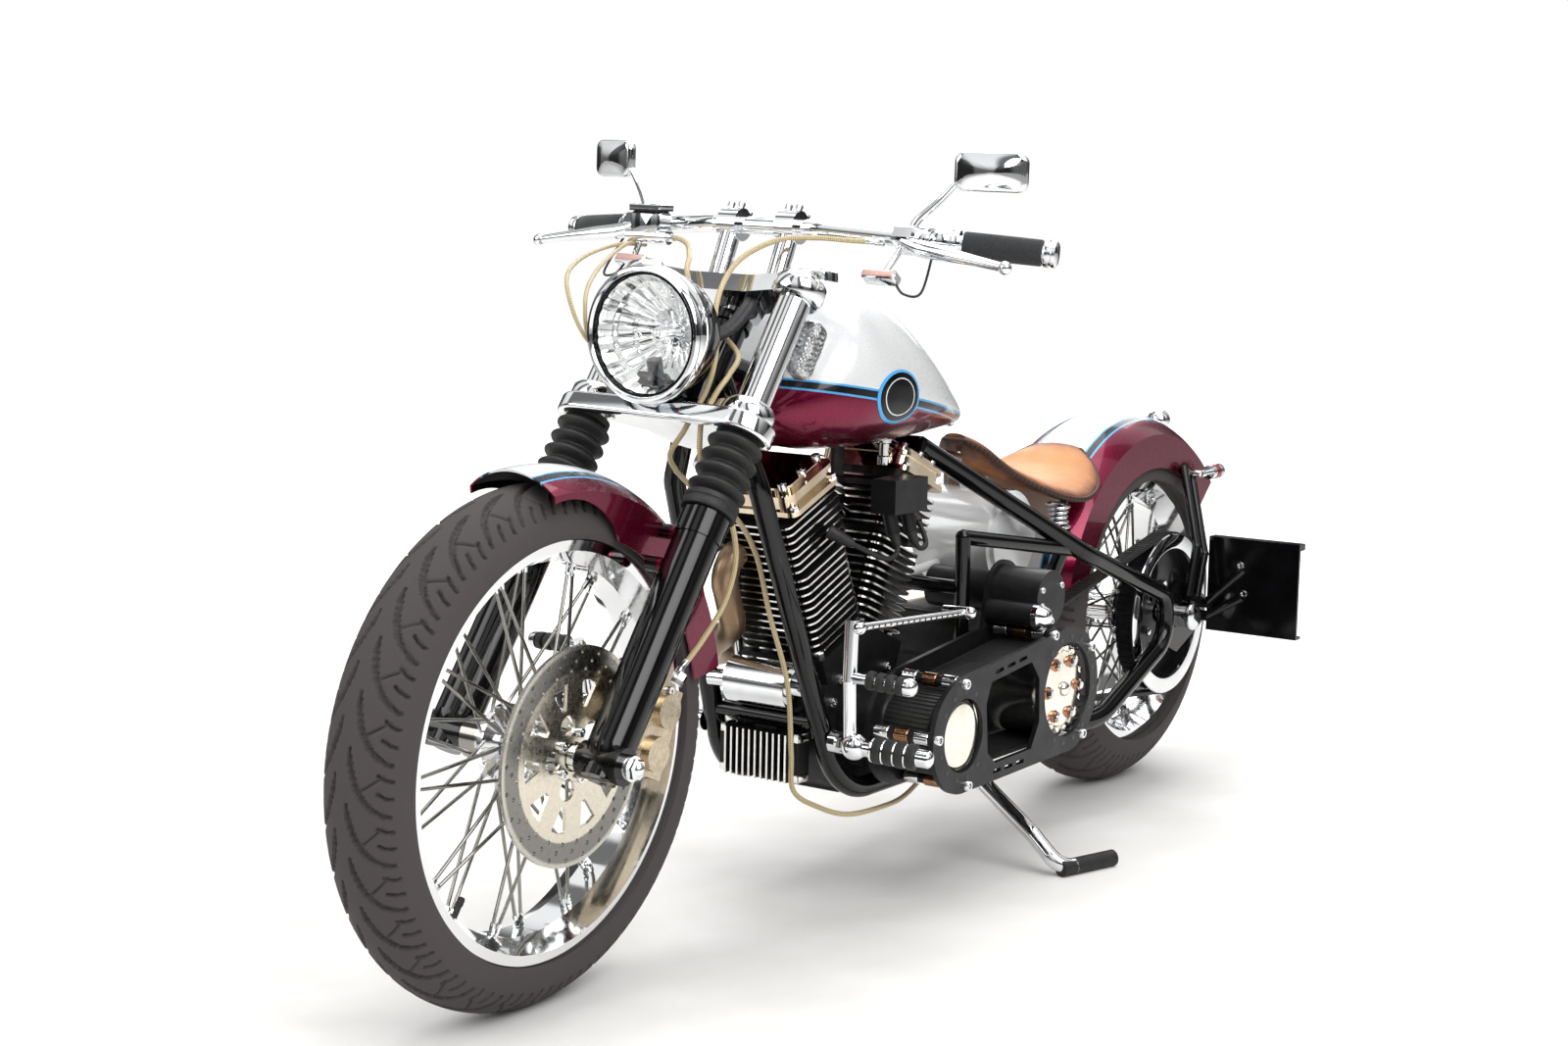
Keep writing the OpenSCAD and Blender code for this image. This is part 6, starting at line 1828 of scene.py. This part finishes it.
@dataclass
class Dressing:
    """Finishes of the model's own solids."""

    rows: tuple[tuple[Finish, tuple[str, ...]], ...] = (
        (CHROME, ("front_axle", "rear_axle", "fork_tubes", "triple_clamps", "handlebar",
                  "bar_risers", "pushrod_tubes", "air_cleaner", "oil_filter",
                  "rear_lamps", "foot_controls", "side_stand")),
        # rocker boxes: chrome with a painted warm reflection
        (BOX_CHROME, ("rocker_boxes",)),
        (GLOSS_BLACK, ("frame", "fork_sliders", "headlamp_shell", "fender_struts", "plate_holder")),
        (SATIN_BLACK, ("starter", "primary_plate", "primary_guard", "rear_caliper", "ignition_coil")),
        (CAST_BLACK, ("engine_case", "front_cylinder", "rear_cylinder", "transmission", "oil_cooler")),
        (ANODISED, ("rear_pulley",)),
        (RUBBER, ("primary_belt", "final_belt")),
        (LENS, ("headlamp_lens",)),
        (NICKEL, ("front_caliper",)),
        (POLISHED, ("primary_pulleys",)),
        (PIPE, ("exhaust_pipes",)),
    )

    def fender_paint(self, name: str, space: Space, first: float) -> BandedPaint:
        """Fender paint whose bands follow the distance from the wheel's middle plane.

        Args:
            name: the material's name.
            space: space whose middle plane it goes by.
            first: distance in millimetres at which the pearl ends.

        Returns:
            The finish.
        """
        turned_, shift = STANCE.frame_of(space)
        normal = turned_[:, 1]
        offset = -float(normal @ shift) * MM
        stops = ((0, PEARL), (first, BLUE), (first + 3, BLACK_BAND), (first + 13, BLUE), (first + 16, CANDY))
        return BandedPaint(name, CANDY, PEARL, 0.0, (0.26, 0.34), 1.5, coat=0.5, shine=0.25, stops=stops,
                           reach_mm=120, plane=(*map(float, normal), offset))

    def radial(self, name: str, space: Space, y: float, stops: Stops,
               rough: Span) -> RadialSteel:
        """Steel about one axle.

        Args:
            name: the material's name.
            space: wheel space whose axle it goes by.
            y: place along the axle.
            stops: distances in millimetres and their colours.
            rough: limits of its roughness.

        Returns:
            The finish.
        """
        centre = tuple(map(float, STANCE.place(table((0, y, 0)), space)[0]))
        return RadialSteel(name, stops[0][1], stops[1][1], 1.0, rough, 3, centre=centre, stops=stops)

    def spokes(self, hub: float, rim: float) -> Stops:
        """Chrome hub and rim with stainless spokes between."""
        return (0, "ECEDEE"), (hub, "ECEDEE"), (hub + 6, "8B8984"), (rim - 6, "8B8984"), (rim, "ECEDEE")

    def build(self) -> None:
        """Gives every visible solid its material."""
        front, rear = Space.FRONT_WHEEL, Space.REAR_WHEEL
        dull, bright = (0.2, 0.34), (0.04, 0.1)
        disc = ((0, "DAD3C3"), (113, "DAD3C3"), (114, "84837E"), (139, "84837E"), (142, "C2BFB6"))
        pearl = Finish("pearl_lacquer", PEARL, "E6E7E6", 0.1, (0.16, 0.24), 2, coat=0.8)
        painted = (
            (self.fender_paint("front_fender_paint", Space.FORK, 34), ("front_fender",)),
            (self.fender_paint("rear_fender_paint", Space.BIKE, 46), ("rear_fender",)),
            (pearl, ("oil_tank",)),
            (self.radial("front_disc_steel", front, 79, disc, dull), ("front_disc",)),
            (self.radial("rear_disc_steel", rear, -103, disc, dull), ("rear_disc",)),
            (self.radial("front_wheel_chrome", front, 0, self.spokes(66, 246), bright),
             ("front_wire_wheel",)),
            (self.radial("rear_wheel_chrome", rear, 0, self.spokes(78, 208), bright),
             ("rear_wire_wheel",)),
        )
        for finish, names in self.rows + painted:
            for name in names:
                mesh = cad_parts[name].data
                mesh.materials.clear()
                mesh.materials.append(finish.material())
                LOG.info("solid %s: %s", name, finish.name)


@dataclass
class Studio:
    """Pale floor, soft lights and the photograph's camera."""

    eye: Point = (3.10092, 1.99932, 0.95045)
    yaw: float = 215.13
    pitch: float = 5.9
    roll: float = -1.36
    lens_mm: float = 54.1
    lights: tuple[tuple[str, Point, Point, float, float], ...] = (
        ("key", (1.6, 3.4, 3.4), (0.1, 0.0, 0.5), 3.2, 150.0),
        ("fill", (3.4, -1.6, 2.6), (0.2, 0.0, 0.5), 2.6, 60.0),
        ("top", (-0.4, 0.2, 4.2), (0.0, 0.0, 0.4), 3.6, 110.0),
        ("back", (-3.2, -1.4, 2.6), (-0.2, 0.0, 0.5), 2.4, 60.0),
    )

    def camera(self) -> None:
        """Camera from the fitted place, heading and roll."""
        a, e, r = (math.radians(v) for v in (self.yaw, self.pitch, self.roll))
        look = np.array([math.cos(a) * math.cos(e), math.sin(a) * math.cos(e), -math.sin(e)])
        right = unit(np.cross(look, [0, 0, 1]))
        up = np.cross(right, look)
        right, up = right * math.cos(r) + up * math.sin(r), up * math.cos(r) - right * math.sin(r)
        data = bpy.data.cameras.new("photo_camera")
        data.lens = self.lens_mm
        data.sensor_width = 36
        data.clip_end = 200
        obj = bpy.data.objects.new("photo_camera", data)
        matrix = np.eye(4)
        matrix[:3, 0], matrix[:3, 1], matrix[:3, 2], matrix[:3, 3] = right, up, -look, self.eye
        obj.matrix_world = Matrix(matrix.tolist())
        bpy.context.scene.collection.objects.link(obj)
        bpy.context.scene.camera = obj

    def floor(self) -> None:
        """Pale floor slab with faint scuffs, drawn as a fine grid."""
        finish = FloorPaint("pale_studio_floor", "EFEEEC", "E6E4E1", 0.0, (0.5, 0.7), 180)
        t = np.linspace(-14000, 14000, 15)
        points = np.stack(np.meshgrid(t, t, indexing="ij") + [np.zeros((15, 15))], -1)
        mesh = bpy.data.meshes.new("studio_floor")
        mesh.from_pydata(points.reshape(-1, 3) * MM, [], grid_faces(15, 15, False, False)[:, ::-1].tolist())
        mesh.materials.append(finish.material())
        obj = bpy.data.objects.new("studio_floor", mesh)
        bpy.context.scene.collection.objects.link(obj)

    def world(self) -> None:
        """White to the camera and in reflections, softer as light."""
        world = bpy.data.worlds.new("studio_world")
        bpy.context.scene.world = world
        world.use_nodes = True
        tree = world.node_tree
        tree.nodes.clear()
        path = add(tree, "LightPath").outputs
        camera, clear, shiny = (path[f"Is {kind} Ray"] for kind in ("Camera", "Transmission", "Glossy"))
        smooth = {"interpolation_type": "SMOOTHSTEP"}
        seen = add(tree, "Math", {"operation": "ADD"}, {0: camera, 1: clear}).outputs[0]
        way = add(tree, "SeparateXYZ", None, {0: add(tree, "TexCoord").outputs["Generated"]}).outputs
        sky = add(tree, "MapRange", smooth, {0: way["Z"], 1: 0.02, 2: 0.6, 3: 0.12, 4: 1.0}).outputs[0]
        round_ = add(tree, "Math", {"operation": "ARCTAN2"}, {0: way["Y"], 1: way["X"]}).outputs[0]
        turns = add(tree, "Math", {"operation": "MULTIPLY"}, {0: round_, 1: 7.0}).outputs[0]
        wave = add(tree, "Math", {"operation": "SINE"}, {0: turns}).outputs[0]
        panel = add(tree, "MapRange", smooth, {0: wave, 1: -0.5, 2: 0.1, 3: 0.18, 4: 1.0}).outputs[0]
        lit = add(tree, "Math", {"operation": "MULTIPLY"}, {0: sky, 1: panel}).outputs[0]
        gloss = add(tree, "Math", {"operation": "MULTIPLY"}, {0: shiny, 1: lit}).outputs[0]
        shown = add(tree, "Math", {"operation": "ADD", "use_clamp": True}, {0: seen, 1: gloss}).outputs[0]
        dull = add(tree, "Math", {"operation": "SUBTRACT", "use_clamp": True}, {0: 1.0, 1: shiny}).outputs[0]
        soft = add(tree, "Math", {"operation": "MULTIPLY"}, {0: dull, 1: 0.5}).outputs[0]
        level = add(tree, "Math", {"operation": "MAXIMUM"}, {0: shown, 1: soft}).outputs[0]
        back = add(tree, "Background", None, {"Color": linear("FFFFFF"), "Strength": level})
        add(tree, "OutputWorld", None, {"Surface": back.outputs[0]})

    def build(self) -> None:
        """Sets up the scene round the object."""
        bpy.context.scene.view_settings.view_transform = "Standard"
        self.camera()
        self.floor()
        self.world()
        for name, at, aim, size, power in self.lights:
            data = bpy.data.lights.new(name, "AREA")
            data.size = size
            data.energy = power
            obj = bpy.data.objects.new(name, data)
            back = unit(np.array(at) - np.array(aim))
            axes = bases(back[None])[0]
            matrix = np.eye(4)
            matrix[:3, :3], matrix[:3, 3] = axes, at
            obj.matrix_world = Matrix(matrix.tolist())
            bpy.context.scene.collection.objects.link(obj)


def main() -> None:
    """Builds the studio and every sub-assembly."""
    logging.basicConfig(level=logging.INFO, format="%(name)s %(message)s")
    front = Wheel("front", Space.FRONT_WHEEL, Body.FRONT_WHEEL, 290, 60, 267, 46, (52, 36, 9), 32)
    rear = Wheel("rear", Space.REAR_WHEEL, Body.REAR_WHEEL, 237, 91, 229, 67, (62, 44, 16), 28)
    # black skins that paint the shade under both fenders
    fender_shades = (
        FenderShade("front_fender_painted_shade", Space.FRONT_WHEEL, Body.STEERING, 370, 67, 84, (48.3, 133.7),
                    (52, 213, 123)),
        FenderShade("rear_fender_painted_shade", Space.REAR_WHEEL, Body.FRAME, 364, 94, 98, (14.3, 137.7)),
    )
    for part in (*fender_shades, Studio(), Cables(), Dressing(), front, rear, Brakes(), Headlamp(), Steering(),
                 FuelTank(), Saddle(), Engine(), Drive(), Controls(), RearEnd()):
        part.build()
        LOG.info("built %s", type(part).__name__)


if __name__ == "__main__":
    main()
